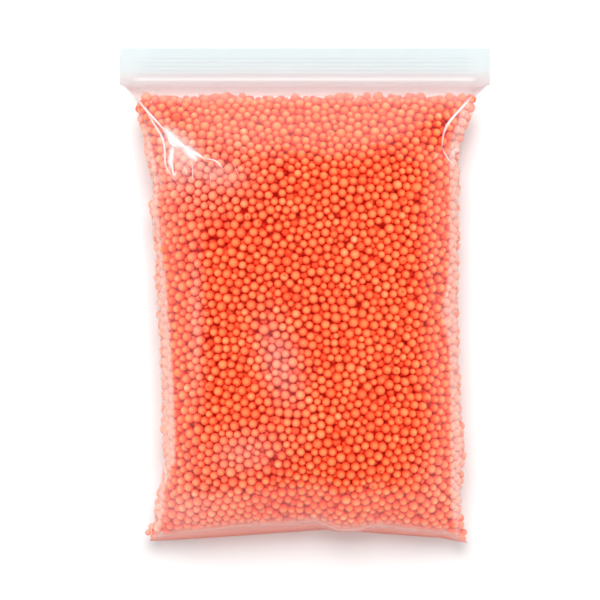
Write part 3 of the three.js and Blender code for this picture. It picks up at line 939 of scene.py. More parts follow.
@dataclass
class FilmBag:
    """The two film panels, welded along their sides and folded along the bottom."""

    form: BagForm
    beads: "BeadPacking"
    finish: FilmFinish = field(default_factory=FilmFinish)
    seal: ZipStrip = field(default_factory=ZipStrip)
    columns: int = 140
    rows: int = 206
    strip_rows: int = 40
    flap_rows: int = 4
    film: float = 0.09
    slack: float = 0.06
    tight: float = 1.3
    tight_from: float = 0.9
    tight_top: float = 72.0
    tight_fade: float = 6.0
    bridging: float = 0.8
    bridging_passes: int = 3
    fill: float = 0.9
    samples: int = 2000
    smooth_angle: float = 50.0
    ridge_onset: float = 12.0
    ridges: tuple[Ridge, ...] = (
        Ridge(((-64.0, 75.0), (-58.0, 69.5), (-52.0, 63.0), (-46.0, 57.0), (-39.0, 51.5)), 1.5, 1.6),
        Ridge(((-62.0, 73.5), (-56.0, 66.0), (-52.5, 58.0), (-50.0, 50.0), (-48.0, 44.0)), 1.2, 1.6),
        Ridge(((64.0, 75.0), (58.0, 69.0), (53.0, 62.0), (51.0, 56.0)), 1.3, 1.6),
    )
    crease_step: float = 0.8
    crease_film: float = 0.05
    crease_edge: float = 0.2
    crease_tip: float = 0.04
    crease_taper: float = 0.6
    # Painted glints: the folds carry white haze where real folds catch the light, brightest at the top
    # corners.
    creases: tuple[Crease, ...] = (
        Crease(((-64.4, 75.7), (-60.6, 71.3), (-56.4, 66.7), (-53.1, 63.0), (-50.6, 59.9)), 1.1, haze=0.97),
        Crease(
            ((-62.2, 74.2), (-56.6, 64.8), (-53.2, 59.6), (-52.3, 54.7), (-52.3, 48.7), (-48.1, 43.1)),
            1.0,
            haze=0.9,
        ),
        Crease(((-53.2, 63.7), (-51.0, 61.4), (-49.1, 58.8), (-47.6, 57.3), (-44.6, 55.5)), 3.6, haze=0.97),
        Crease(((-51.3, 61.1), (-51.0, 58.5), (-49.5, 56.6), (-46.8, 55.5)), 1.7, haze=0.9),
        Crease(((-48.0, 59.2), (-46.8, 57.0), (-44.2, 55.8), (-43.1, 54.3)), 1.2, haze=0.95),
        Crease(((-45.7, 56.2), (-43.5, 54.7), (-41.6, 52.5), (-40.1, 50.2)), 4.2, haze=0.97),
        Crease(((-44.2, 53.6), (-41.6, 54.0), (-39.4, 52.8), (-37.1, 51.0)), 1.6, haze=0.95),
        Crease(((-42.3, 51.3), (-41.6, 46.5), (-42.0, 42.7)), 0.5, haze=0.7),
        Crease(((-37.1, 51.3), (-33.1, 51.0), (-30.2, 47.2)), 0.8, haze=0.95),
        Crease(((-26.6, 49.8), (-24.4, 44.6)), 0.4, haze=0.45),
        Crease(((-51.0, 52.1), (-48.9, 48.8), (-49.6, 45.5), (-48.0, 44.4), (-48.1, 47.6)), 0.9, haze=0.97),
        Crease(((-45.0, 48.7), (-43.8, 45.3)), 0.6, haze=0.8),
        Crease(((-49.2, 56.8), (-49.8, 53.2), (-50.4, 50.0), (-49.6, 47.4)), 2.4, haze=0.95),
        Crease(((-35.2, 46.5), (-34.9, 41.6)), 0.4, haze=0.5),
        Crease(
            ((63.6, 76.4), (59.3, 71.3), (55.5, 67.6), (52.6, 63.8), (51.4, 59.6), (51.1, 55.5)),
            1.0,
            haze=0.97,
        ),
        Crease(((62.1, 75.5), (58.0, 70.4), (54.7, 66.3), (52.2, 61.4)), 0.7, haze=0.85),
        Crease(((51.1, 55.9), (53.0, 52.2), (55.8, 49.5)), 0.7, haze=0.8),
        Crease(((54.3, 52.1), (55.0, 55.1), (57.3, 56.2), (59.1, 54.3)), 0.6, haze=0.7),
        Crease(((50.2, 54.0), (47.5, 51.0)), 0.4, haze=0.7),
        Crease(((-53.9, -61.7), (-52.0, -66.6), (-52.7, -71.5)), 0.5),
        Crease(((-8.0, -86.2), (-1.9, -85.7), (4.2, -85.2), (8.7, -87.1), (12.4, -88.6)), 0.5, haze=0.25),
        Crease(((19.8, -88.6), (25.4, -87.1), (29.8, -86.9), (39.0, -88.2), (49.6, -89.6)), 0.5, haze=0.2),
        Crease(((49.6, -89.6), (53.3, -89.4), (57.0, -91.9)), 0.5, haze=0.25),
        Crease(((-63.6, 78.4), (-54.5, 78.2)), 0.4, haze=0.6),
    )

    def build(self) -> list[bpy.types.Object]:
        """Builds the bag's film.

        Returns:
            The front panel with its creases and the back panel, each a sheet with its thickness.
        """
        material = self.finish.material()
        sheets = {panel: self._sheet(panel) for panel in Panel}
        self._meet(sheets)
        panels = []
        for panel, sheet in sheets.items():
            piece = self._panel(panel, sheet)
            self._thicken(piece, self.film)
            choose(piece)
            bpy.ops.object.shade_smooth_by_angle(angle=math.radians(self.smooth_angle))
            if panel is Panel.FRONT:
                piece = join_pieces([piece, *self._creases(piece)], piece.name)
            piece.data.materials.clear()
            piece.data.materials.append(material)
            LOG.info("%s: %d faces", piece.name, len(piece.data.polygons))
            panels.append(piece)
        return panels

    def steps(self) -> tuple[np.ndarray, np.ndarray]:
        """Where the panels' grid lines run.

        Returns:
            The lines' places across, and their places along.
        """
        fine = np.linspace(-1, 1, self.samples)
        waist = np.full_like(fine, self.form.body / 2)
        across = self._even(fine, self.form.surface(Panel.FRONT, fine, waist), self.columns)
        fine = np.linspace(0, self.form.body, self.samples)
        along = self._even(fine, self.form.surface(Panel.FRONT, np.zeros_like(fine), fine), self.rows)
        flap = np.linspace(-1, 0, self.flap_rows + 1)[:-1]
        strip = np.linspace(0, self.form.strip, self.strip_rows + 1)[1:]
        return across, np.concatenate([flap, along, self.form.body + strip])

    @staticmethod
    def _even(values: np.ndarray, places: np.ndarray, count: int) -> np.ndarray:
        """Spaces places evenly along a line.

        Args:
            values: Values that run along the line.
            places: The place that belongs to each value.
            count: How many steps are wanted.

        Returns:
            The values at the ends of the steps.
        """
        lengths = np.linalg.norm(np.diff(places, axis=0), axis=1)
        reached = np.concatenate([[0], np.cumsum(lengths)])
        return np.interp(np.linspace(0, reached[-1], count + 1), reached, values)

    def _sheet(self, panel: Panel) -> np.ndarray:
        """Lays a panel on the bag's form and draws it over the beads.

        Args:
            panel: The panel.

        Returns:
            The panel's grid of places, in millimetres.
        """
        across, along = self.steps()
        wide, high = np.meshgrid(across, along)
        sheet = self.form.surface(panel, wide.ravel(), high.ravel()).reshape(*wide.shape, 3)
        if panel is Panel.FRONT:
            inner = np.clip((1 - np.abs(wide)) * self.ridge_onset, 0, 1)
            for ridge in self.ridges:
                sheet[..., 2] += ridge.lift(sheet[..., 0], sheet[..., 1]) * inner
            sheet[..., 2] += self.seal.lift(sheet[..., 0], high + self.form.fold_y)
        drawn = smooth_step((np.abs(wide) - self.tight_from) / (1 - self.tight_from)) * (high > 0)
        drawn *= smooth_step((self.tight_top - sheet[..., 1]) / self.tight_fade)
        sheet[..., 0] -= self.tight * np.sign(wide) * drawn
        self._cling(sheet, panel)
        return sheet

    def _panel(self, panel: Panel, sheet: np.ndarray) -> bpy.types.Object:
        """Models one film panel as a grid.

        Args:
            panel: The panel.
            sheet: Its grid of places, in millimetres.

        Returns:
            The panel, still without thickness.
        """
        across, along = self.steps()
        name = "film_" + panel.name.lower()
        piece, column, row = add_grid(name, len(across) - 1, len(along) - 1)
        places = sheet[row, column]
        move_vertices(piece, places * MM)
        milk_and_painted_light = self.finish.milk_and_painted_light(self.form, places, across[column], along[row], panel, self.seal)
        self._shade(piece, *milk_and_painted_light)
        if panel is Panel.BACK:
            bpy.ops.object.mode_set(mode="EDIT")
            bpy.ops.mesh.select_all(action="SELECT")
            bpy.ops.mesh.flip_normals()
            bpy.ops.object.mode_set(mode="OBJECT")
        return piece

    def _cling(self, sheet: np.ndarray, panel: Panel) -> None:
        """Draws a panel out over the beads that bulge it, tight from bead to bead.

        Args:
            sheet: The panel's grid of places, in millimetres, changed in place.
            panel: The panel.
        """
        normal = np.cross(np.gradient(sheet, axis=1), np.gradient(sheet, axis=0)) * panel.value
        normal[:, 0] = (-1, 0, 0)
        normal[:, -1] = (1, 0, 0)
        normal /= np.maximum(np.linalg.norm(normal, axis=2, keepdims=True), TINY)
        outer = np.flatnonzero(self.beads.depth < self.tight + self.slack + self.film)
        tree = KDTree(len(outer))
        for number in outer:
            tree.insert(self.beads.centre[number], number)
        tree.balance()
        reach = float(self.beads.radius.max()) + self.slack + self.film
        lift = np.zeros(sheet.shape[:2])
        for cell in np.ndindex(lift.shape):
            for _, number, _ in tree.find_range(sheet[cell], reach):
                away = sheet[cell] - self.beads.centre[number]
                inside = away @ away - (self.beads.radius[number] + self.slack + self.film) ** 2
                if inside < 0:
                    out = away @ normal[cell]
                    lift[cell] = max(lift[cell], math.sqrt(out * out - inside) - out)
        for _ in range(self.bridging_passes):
            padded = np.pad(lift, 1, mode="edge")
            around = padded[:-2, 1:-1] + padded[2:, 1:-1] + padded[1:-1, :-2] + padded[1:-1, 2:]
            around /= 4
            lift = np.maximum(lift, self.bridging * around)
        sheet += normal * lift[..., None]

    @staticmethod
    def _meet(sheets: dict[Panel, np.ndarray]) -> None:
        """Stands the panels' sides up straight to the welds, where the two meet.

        Args:
            sheets: Each panel's grid of places, in millimetres, changed in place.
        """
        for side in (slice(None), slice(None, None, -1)):
            widths = []
            for sheet in sheets.values():
                reached = sheet[:, side, 0][:, sheet.shape[1] // 2 :]
                sign = np.sign(reached[0, -1])
                reached[...] = sign * np.maximum.accumulate(sign * reached, axis=1)
                widths.append(sign * reached[:, -1])
            for sheet in sheets.values():
                sheet[:, side, 0][:, -1] = sign * np.maximum(*widths)

    @staticmethod
    def _thicken(piece: bpy.types.Object, film: float) -> None:
        """Gives a sheet its thickness inwards, where its inner face doesn't show.

        Args:
            piece: The sheet.
            film: Its thickness, in millimetres.
        """
        count = len(piece.data.vertices)
        apply_modifier(piece, "SOLIDIFY", thickness=film * MM, offset=-1.0)
        for inner in piece.data.attributes["outer"].data[count:]:
            inner.value = 0.0

    @staticmethod
    def _shade(piece: bpy.types.Object, colour: np.ndarray, haze: np.ndarray, seen: np.ndarray) -> None:
        """Writes what the film's material reads into a piece.

        Args:
            piece: The piece.
            colour: Each vertex's haze colour.
            haze: How thick its haze is.
            seen: How much of the film shows there.
        """
        # The haze colour carries the painted light as well as the film's own milky tone.
        milk_and_painted_light = piece.data.attributes.new("milk_and_painted_light", "FLOAT_COLOR", "POINT")
        milk_and_painted_light.data.foreach_set("color", np.c_[colour, np.ones(len(colour))].astype(np.float32).ravel())
        write_values(piece.data, "haze", haze)
        write_values(piece.data, "outer", seen)

    def _creases(self, panel: bpy.types.Object) -> list[bpy.types.Object]:
        """Lays sharp folds on a panel, each a narrow tent that runs out at both ends.

        Args:
            panel: The panel.

        Returns:
            The folds.
        """
        faces = [list(polygon.vertices) for polygon in panel.data.polygons]
        film = BVHTree.FromPolygons((vertex_places(panel) / MM).tolist(), faces)
        above = 2 * self.form.thickness
        pieces = []
        for crease in self.creases:
            line = crease.line(self.crease_step)
            way = np.gradient(line, axis=0)
            way /= np.linalg.norm(way, axis=1, keepdims=True)
            side = np.stack([-way[:, 1], way[:, 0]], axis=-1)
            reached = np.linspace(self.crease_tip, 1 - self.crease_tip, len(line))
            taper = np.sin(math.pi * reached) ** self.crease_taper
            piece, column, row = add_grid("crease", 2, len(line) - 1)
            out = column - 1
            flat = line[row] + side[row] * (out * taper[row] * -crease.width / 2)[:, None]
            hits = [film.ray_cast(Vector((x, y, above)), DOWN)[0] for x, y in flat]
            level = np.array([spot.z if spot else self.form.strip_level for spot in hits])
            level += self.crease_film + crease.rise * taper[row] * (out == 0)
            move_vertices(piece, np.c_[flat, level] * MM)
            # Painted glint: white haze brightest along the crest, fading at the edges and ends.
            share = taper[row] * np.where(out == 0, 1.0, self.crease_edge)
            colour = np.tile(self.finish.pale, (len(row), 1))
            self._shade(piece, colour, crease.haze * share, np.ones(len(row)))
            self._thicken(piece, self.crease_film)
            pieces.append(piece)
        return pieces


class FilmRoom:
    """The room inside the film: a coarse grid of distances, and the film itself for contact."""

    columns: int = 97
    rows: int = 141
    near_steps: float = 0.9
    touching: float = 1e-3

    def __init__(self, form: BagForm, step: float = 3.0, margin: float = 3.0) -> None:
        """Measures the room inside a bag.

        Args:
            form: The bag's shape.
            step: The grid's spacing, in millimetres.
            margin: How far the grid runs past the bag.
        """
        self.step = step
        points, faces = self._shell(form)
        self.film = BVHTree.FromPolygons(points.tolist(), faces)
        self.low = points.min(axis=0) - margin
        counts = np.ceil((points.max(axis=0) + margin - self.low) / step).astype(int) + 1
        axes = [self.low[i] + step * np.arange(counts[i]) for i in range(3)]
        self.grid = np.empty(counts)
        high = float(points[:, 2].max() + margin)
        for i, x in enumerate(axes[0]):
            for j, y in enumerate(axes[1]):
                top = self.film.ray_cast(Vector((x, y, high)), DOWN)[0]
                base = self.film.ray_cast(Vector((x, y, -margin)), UP)[0]
                for k, z in enumerate(axes[2]):
                    away = self.film.find_nearest(Vector((x, y, z)))[3]
                    inside = top is not None and base is not None and base.z < z < top.z
                    self.grid[i, j, k] = -away if inside else away

    def _shell(self, form: BagForm) -> tuple[np.ndarray, list[tuple[int, ...]]]:
        """Lays both panels out as one loose set of quads that face outwards.

        Args:
            form: The bag's shape.

        Returns:
            The quads' corners in millimetres, and which corners each quad has.
        """
        across = np.sin(np.linspace(-1, 1, self.columns) * math.pi / 2)
        along = form.body * (1 - np.cos(np.linspace(0, math.pi / 2, self.rows)))
        wide, high = np.meshgrid(across, along, indexing="ij")
        points, faces = [], []
        for panel in Panel:
            first = len(points) * wide.size
            points.append(form.surface(panel, wide.ravel(), high.ravel()))
            for i in range(len(across) - 1):
                for j in range(len(along) - 1):
                    a = first + i * len(along) + j
                    quad = (a, a + len(along), a + len(along) + 1, a + 1)
                    faces.append(quad[:: panel.value])
        return np.concatenate(points), faces

    def inside(self, place: Vector) -> bool:
        """Whether a place lies inside the film, where the next film above it faces up."""
        spot, normal, _, _ = self.film.ray_cast(place, UP)
        return spot is not None and normal.z > 0

    def within(self, place: np.ndarray, clear: float) -> bool:
        """Whether a place lies inside the film and at least this far from it."""
        return self.inside(Vector(place)) and self.film.find_nearest(Vector(place))[3] > clear

    def rough_depth(self, points: np.ndarray) -> np.ndarray:
        """Looks up how deep points lie, at the places of the grid nearest to them.

        Args:
            points: Places in millimetres, one row each.

        Returns:
            Each point's distance inside the film.
        """
        cell = np.rint((points - self.low) / self.step).astype(int)
        cell = np.clip(cell, 0, np.array(self.grid.shape) - 1)
        return -self.grid[cell[:, 0], cell[:, 1], cell[:, 2]]

    def hold(self, points: np.ndarray, before: np.ndarray, clear: "Clearance", press: float) -> None:
        """Keeps points as far inside the film as they have to be, and close ones pressed against it.

        Args:
            points: Places in millimetres, one row each, changed in place.
            before: Where they were last, inside the film.
            clear: How far inside the film each has to stay.
            press: How far a point that is close under the film moves towards it.
        """
        near = np.flatnonzero(self.rough_depth(points) < clear.flat + self.step * self.near_steps)
        for i in near:
            place = Vector(points[i])
            if not self.inside(place):
                points[i] = before[i]
                continue
            spot, _, _, away = self.film.find_nearest(place)
            least = clear.at(i, (spot - place) / max(away, self.touching))
            wanted = least if away < least else max(least, away - press)
            moved = spot + (place - spot) * (wanted / max(away, self.touching))
            if self.inside(moved):
                points[i] = moved

    def nearest(self, points: np.ndarray) -> tuple[np.ndarray, np.ndarray]:
        """How far each point is from the film, and which way.

        Args:
            points: Places in millimetres, one row each.

        Returns:
            The distances, and the directions to the film, one row each.
        """
        hits = [self.film.find_nearest(Vector(p)) for p in points]
        away = np.array([hit[3] for hit in hits])
        ways = np.array([hit[0] for hit in hits]) - points
        return away, ways / np.maximum(away, TINY)[:, None]


@dataclass(frozen=True)
class Clearance:
    """How far inside the film beads have to stay, in millimetres, where some may bulge it."""

    flat: np.ndarray
    bulge: np.ndarray
    give: float
    side_give: float

    def at(self, number: int, way: Vector) -> float:
        """How far from the film one bead has to stay.

        Args:
            number: The bead.
            way: The direction from the bead to the film.

        Returns:
            The distance from the bead's middle to the film.
        """
        side = max(0.0, abs(way.x) * 2 - 1)
        give = self.give + (self.side_give - self.give) * side
        return self.flat[number] - self.bulge[number] * give


@dataclass
class BeadPacking:
    """Where each bead comes to rest, in millimetres."""

    form: BagForm
    mean: float = 3.38
    spread: float = 0.36
    smallest: float = 2.3
    least: float = 1.7
    largest: float = 4.2
    share: float = 0.66
    inset: float = 0.15
    press: float = 0.03
    give: float = 0.25
    side_give: float = 1.3
    bulge_power: float = 1.5
    corners: tuple[tuple[float, float, float, float], ...] = (
        (-59.8, -89.7, 13.4, 1.2),
        (-57.8, -91.2, 13.4, 1.1),
        (-58.4, -87.5, 13.8, 1.35),
        (60.3, -92.2, 13.0, 1.1),
        (60.5, -89.6, 13.6, 1.25),
    )
    head_space: float = 2.6
    head_uneven: float = 3.4
    head_thinning: float = 0.7
    passes: int = 130
    growing: float = 0.6
    start_size: float = 0.7
    push: float = 0.38
    reach: float = 0.6
    relist: int = 6
    seed: int = 29
    room: FilmRoom = field(init=False)
    loose: int = field(init=False)
    centre: np.ndarray = field(init=False)
    radius: np.ndarray = field(init=False)
    bulge: np.ndarray = field(init=False)
    ceiling: np.ndarray = field(init=False)
    outward: np.ndarray = field(init=False)
    depth: np.ndarray = field(init=False)
    first: np.ndarray = field(init=False)
    second: np.ndarray = field(init=False)

    def settle(self) -> None:
        """Packs the beads: they start at random places, and push each other apart."""
        rng = np.random.default_rng(self.seed)
        self.room = FilmRoom(self.form)
        loose_at, loose_size = self._loose()
        limit = self.form.strip_y - self.head_space
        inside = (self.room.grid < 0).nonzero()
        space = (self.room.low[1] + inside[1] * self.room.step < limit).sum() * self.room.step**3
        ball = math.pi / 6 * (self.mean**3 + 3 * self.mean * self.spread**2)
        count = int(space * self.share / ball)
        start = self._scatter(rng, count, limit)
        size = np.clip(rng.normal(self.mean, self.spread, count), self.smallest, self.largest)
        self.radius = np.concatenate([loose_size, size]) / 2
        self.centre = np.concatenate([loose_at, start])
        self.loose = len(loose_at)
        self.bulge = rng.uniform(0, 1, count) ** self.bulge_power
        self.ceiling = limit - self.head_uneven * rng.uniform(0, 1, count) ** self.head_thinning
        for number in range(self.passes):
            grown = min(1.0, number / (self.passes * self.growing))
            self._step(number, self.start_size + (1 - self.start_size) * grown)
        self._trim()
        LOG.info("packed %d beads into %.0f ml", len(self.radius), space / 1000)

    def _trim(self) -> None:
        """Shrinks beads that are squeezed into the corners, and leaves out those with no room."""
        away, self.outward = self.room.nearest(self.centre)
        bulge = np.concatenate([np.zeros(self.loose), self.bulge])
        clear = Clearance(np.zeros_like(away), bulge, self.give, self.side_give)
        room = away - np.array([clear.at(i, Vector(way)) for i, way in enumerate(self.outward)])
        self.radius[self.loose :] = np.minimum(self.radius, room)[self.loose :]
        inside = np.array([self.room.inside(Vector(place)) for place in self.centre])
        keep = (self.radius > self.least / 2) & inside
        keep[: self.loose] = True
        self.centre = self.centre[keep]
        self.radius = self.radius[keep]
        self.outward = self.outward[keep]
        self.depth = away[keep] - self.radius
        corners = np.array(self.corners)
        self.centre = np.concatenate([self.centre, corners[:, :3]])
        self.radius = np.concatenate([self.radius, corners[:, 3]])
        self.outward = np.concatenate([self.outward, np.tile(UP, (len(corners), 1))])
        self.depth = np.concatenate([self.depth, np.zeros(len(corners))])

    def _scatter(self, rng: np.random.Generator, count: int, limit: float) -> np.ndarray:
        """Random places inside the film.

        Args:
            rng: The source of the places.
            count: How many are wanted.
            limit: How far up the bag they may lie.

        Returns:
            The places, one row each.
        """
        found: list[np.ndarray] = []
        room = self.room
        high = room.low + np.array(room.grid.shape) * room.step
        high[1] = limit
        while len(found) < count:
            for place in rng.uniform(room.low, high, (count, 3)):
                if room.within(place, self.smallest / 3):
                    found.append(place)
        return np.array(found[:count])

    @staticmethod
    def _loose() -> tuple[np.ndarray, np.ndarray]:
        """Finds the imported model's single beads.

        Returns:
            Their places, one row each, and their diameters.
        """
        boxes = [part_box(node) for node in LOOSE_NODES]
        places = np.array([(low + high) / 2 / MM for low, high in boxes]).reshape(-1, 3)
        sizes = np.array([max(high - low) / MM for low, high in boxes])
        return places, sizes

    def _step(self, number: int, grown: float) -> None:
        """Pushes overlapping beads apart once, and back inside the film.

        Args:
            number: The number of the pass.
            grown: The beads' size in this pass, as a share of their full size.
        """
        if number % self.relist == 0:
            self.first, self.second = self._neighbours()
        radius = self.radius * grown
        before = self.centre.copy()
        gap = self.centre[self.second] - self.centre[self.first]
        away = np.linalg.norm(gap, axis=1)
        overlap = radius[self.first] + radius[self.second] - away
        hit = overlap > 0
        first, second = self.first[hit], self.second[hit]
        move = gap[hit] * (self.push * overlap[hit] / np.maximum(away[hit], TINY))[:, None]
        for axis in range(3):
            shift = np.bincount(second, move[:, axis], len(radius))
            shift -= np.bincount(first, move[:, axis], len(radius))
            shift[: self.loose] = 0
            self.centre[:, axis] += shift
        free = self.centre[self.loose :]
        clear = Clearance(radius[self.loose :] + self.inset, self.bulge, self.give, self.side_give)
        self.room.hold(free, before[self.loose :], clear, self.press)
        free[:, 1] = np.minimum(free[:, 1], self.ceiling - radius[self.loose :])

    def _neighbours(self) -> tuple[np.ndarray, np.ndarray]:
        """Pairs of beads that are close enough to touch in the next passes.

        Returns:
            The first and the second bead of each pair.
        """
        edge = self.largest + self.reach
        cell = np.floor((self.centre - self.centre.min(axis=0)) / edge).astype(np.int64) + 1
        counts = cell.max(axis=0) + 2
        key = (cell[:, 0] * counts[1] + cell[:, 1]) * counts[2] + cell[:, 2]
        order = np.argsort(key, kind="stable")
        ordered = key[order]
        firsts, seconds = [], []
        for i, j, k in itertools.product((-1, 0, 1), repeat=3):
            if (i, j, k) < (0, 0, 0):
                continue
            other = key + (i * counts[1] + j) * counts[2] + k
            begin = np.searchsorted(ordered, other, "left")
            number = np.searchsorted(ordered, other, "right") - begin
            mine = np.repeat(np.arange(len(key)), number)
            offset = np.arange(number.sum()) - np.repeat(np.cumsum(number) - number, number)
            theirs = order[np.repeat(begin, number) + offset]
            keep = theirs > mine if (i, j, k) == (0, 0, 0) else np.ones(len(mine), bool)
            gap = self.centre[theirs] - self.centre[mine]
            reach = self.radius[theirs] + self.radius[mine] + self.reach
            keep &= (gap * gap).sum(axis=1) < reach * reach
            firsts.append(mine[keep])
            seconds.append(theirs[keep])
        return np.concatenate(firsts), np.concatenate(seconds)


@dataclass(frozen=True)
class LayerLook:
    """How the beads of one layer are made: the most in a piece, their fineness, colour level (lower in
    deeper layers, as painted shade) and swell.
    """

    most: int
    fineness: int
    tint_and_painted_light: float
    swell: float


@dataclass
class BeadFill:
    """The beads, in pieces by how deep they lie."""

    packing: BeadPacking
    finish: BeadFinish = field(default_factory=BeadFinish)
    outer_depth: float = 1.3
    second_depth: float = 3.9
    # Painted shade: deeper layers get a lower colour level, so the gaps between the outer beads look darker
    # and redder.
    looks: dict[Layer, LayerLook] = field(
        default_factory=lambda: {
            Layer.OUTER: LayerLook(most=2300, fineness=2, tint_and_painted_light=1.0, swell=1.0),
            Layer.SECOND: LayerLook(most=6000, fineness=1, tint_and_painted_light=0.86, swell=1.04),
            Layer.CORE: LayerLook(most=9000, fineness=1, tint_and_painted_light=0.5, swell=1.14),
        }
    )
    tint_base: float = 0.43
    painted_light_by_facing: float = 0.45
    tint_spread: float = 0.045
    unevenness: float = 0.05
    long_share: float = 0.05
    long_stretch: float = 1.2
    pitted_share: float = 0.03
    pit: float = 0.7
    pit_painted_shade: float = 0.3
    pit_stray: float = 0.4
    # Painted reflections of the film's sheen and glare, laid onto the beads' colour; the corner share pales
    # the beads in the bottom corners.
    painted_sheens: tuple[PaintedSheenStrip | PaintedReflectionPatch, ...] = (
        LEFT_PAINTED_SHEEN,
        RIGHT_PAINTED_SHEEN,
        PaintedReflectionPatch(-42.0, 44.0, (16.0, 12.0), -25.0, 0.26),
        PaintedReflectionPatch(-26.0, 52.0, (14.0, 10.0), -20.0, 0.12),
        PaintedReflectionPatch(-40.5, -8.0, (3.0, 28.0), 0.0, 0.22),
        PaintedReflectionPatch(-9.5, -24.0, (7.0, 15.5), 16.0, 0.28),
        PaintedReflectionPatch(-22.0, -58.0, (14.0, 9.0), 10.0, 0.20),
        PaintedReflectionPatch(-40.0, -80.0, (22.0, 12.0), 0.0, 0.15),
        PaintedReflectionPatch(51.0, -74.0, (10.0, 15.0), 20.0, 0.12),
    )
    corner_painted_sheen: float = 0.35
    corner_x: float = 56.5
    corner_y: float = -80.0
    seed: int = 5

    def build(self) -> list[bpy.types.Object]:
        """Builds every bead.

        Returns:
            The pieces, the single loose beads last.
        """
        rng = np.random.default_rng(self.seed)
        packing = self.packing
        material = self.finish.material()
        free = np.arange(len(packing.radius)) >= packing.loose
        outer = free & (packing.depth < self.outer_depth)
        second = free & ~outer & (packing.depth < self.second_depth)
        groups = [
            ("beads_outer", outer, Layer.OUTER),
            ("beads_second", second, Layer.SECOND),
            ("beads_core", free & ~outer & ~second, Layer.CORE),
            ("beads_loose", ~free, Layer.OUTER),
        ]
        pieces = []
        for name, mask, layer in groups:
            beads = np.flatnonzero(mask)
            beads = beads[np.argsort(packing.centre[beads, 1], kind="stable")]
            parts = max(1, math.ceil(len(beads) / self.looks[layer].most))
            for number, chunk in enumerate(np.array_split(beads, parts)):
                label = name if parts == 1 else f"{name}_{number + 1}"
                piece = self._piece(label, chunk, layer, rng)
                piece.data.materials.append(material)
                LOG.info("%s: %d beads, %d faces", label, len(chunk), len(piece.data.polygons))
                pieces.append(piece)
        return pieces

    def _piece(
        self, name: str, beads: np.ndarray, layer: Layer, rng: np.random.Generator
    ) -> bpy.types.Object:
        """Copies one modelled bead to many places.

        Args:
            name: The piece's name.
            beads: The numbers of the beads in it.
            layer: How deep they lie.
            rng: The source of each bead's turn and unevenness.

        Returns:
            The piece.
        """
        look = self.looks[layer]
        deselect_all()
        bpy.ops.mesh.primitive_ico_sphere_add(subdivisions=look.fineness, radius=1.0)
        model = new_primitive("bead_model")
        shape = vertex_places(model)
        corners = np.array([list(p.vertices) for p in model.data.polygons])
        bpy.data.objects.remove(model)
        count = len(beads)
        stretch = 1 + rng.uniform(-1, 1, (count, 1, 3)) * self.unevenness
        long = rng.uniform(size=count) < self.long_share
        stretch[long, 0, 0] *= self.long_stretch
        local = np.einsum("bij,bvj->bvi", self._turns(count, rng), shape[None] * stretch)
        out = self.packing.outward[beads]
        facing = np.einsum("bvi,bi->bv", local, out) / np.linalg.norm(local, axis=2)
        # Painted light: vertices that face out towards the film are paler, as if lit from the front, and
        # rims darker; the random spread is the beads' own tone.
        tint_and_painted_light = (self.tint_base + self.painted_light_by_facing * facing) * look.tint_and_painted_light
        tint_and_painted_light += rng.normal(0, self.tint_spread, (count, 1))
        if layer is Layer.OUTER:
            aim = np.einsum("bvi,bi->bv", local, out + rng.normal(0, self.pit_stray, (count, 3)))
            pitted = np.flatnonzero(rng.uniform(size=count) < self.pitted_share)
            deepest = aim[pitted].argmax(axis=1)
            local[pitted, deepest] *= self.pit
            # Painted shade: the pushed-in point of a pitted bead is darkened.
            tint_and_painted_light[pitted, deepest] -= self.pit_painted_shade
        radius = (self.packing.radius[beads] * look.swell)[:, None, None]
        places = self.packing.centre[beads][:, None, :] + local * radius
        faces = corners[None] + (np.arange(count) * len(shape))[:, None, None]
        mesh = bpy.data.meshes.new(name)
        mesh.from_pydata((places * MM).reshape(-1, 3).tolist(), [], faces.reshape(-1, 3).tolist())
        mesh.polygons.foreach_set("use_smooth", np.ones(len(mesh.polygons), bool))
        write_values(mesh, "tint_and_painted_light", np.clip(tint_and_painted_light, 0, 1))
        flat = places.reshape(-1, 3)
        # Painted sheen: how much of the pale reflection colour each vertex takes.
        share = sum(strip.share(flat[:, 0], flat[:, 1]) for strip in self.painted_sheens)
        corner = (flat[:, 1] < self.corner_y) & (np.abs(flat[:, 0]) > self.corner_x)
        share = np.maximum(share, self.corner_painted_sheen * corner)
        write_values(mesh, "veil_and_painted_sheen", share)
        piece = bpy.data.objects.new(name, mesh)
        bpy.context.scene.collection.objects.link(piece)
        return piece

    @staticmethod
    def _turns(count: int, rng: np.random.Generator) -> np.ndarray:
        """Random turns.

        Args:
            count: How many are wanted.
            rng: The source of the turns.

        Returns:
            One 3 by 3 matrix for each.
        """
        turn = rng.normal(size=(count, 4))
        turn /= np.linalg.norm(turn, axis=1, keepdims=True)
        w, x, y, z = turn.T
        rows = (
            (1 - 2 * (y * y + z * z), 2 * (x * y - z * w), 2 * (x * z + y * w)),
            (2 * (x * y + z * w), 1 - 2 * (x * x + z * z), 2 * (y * z - x * w)),
            (2 * (x * z - y * w), 2 * (y * z + x * w), 1 - 2 * (x * x + y * y)),
        )
        return np.stack([np.stack(row, -1) for row in rows], axis=1)


@dataclass(frozen=True)
class Lamp:
    """A soft rectangular lamp that faces the bag, in metres and watts."""

    name: str
    place: tuple[float, float, float]
    size: tuple[float, float]
    watts: float
    mirrored: bool = False


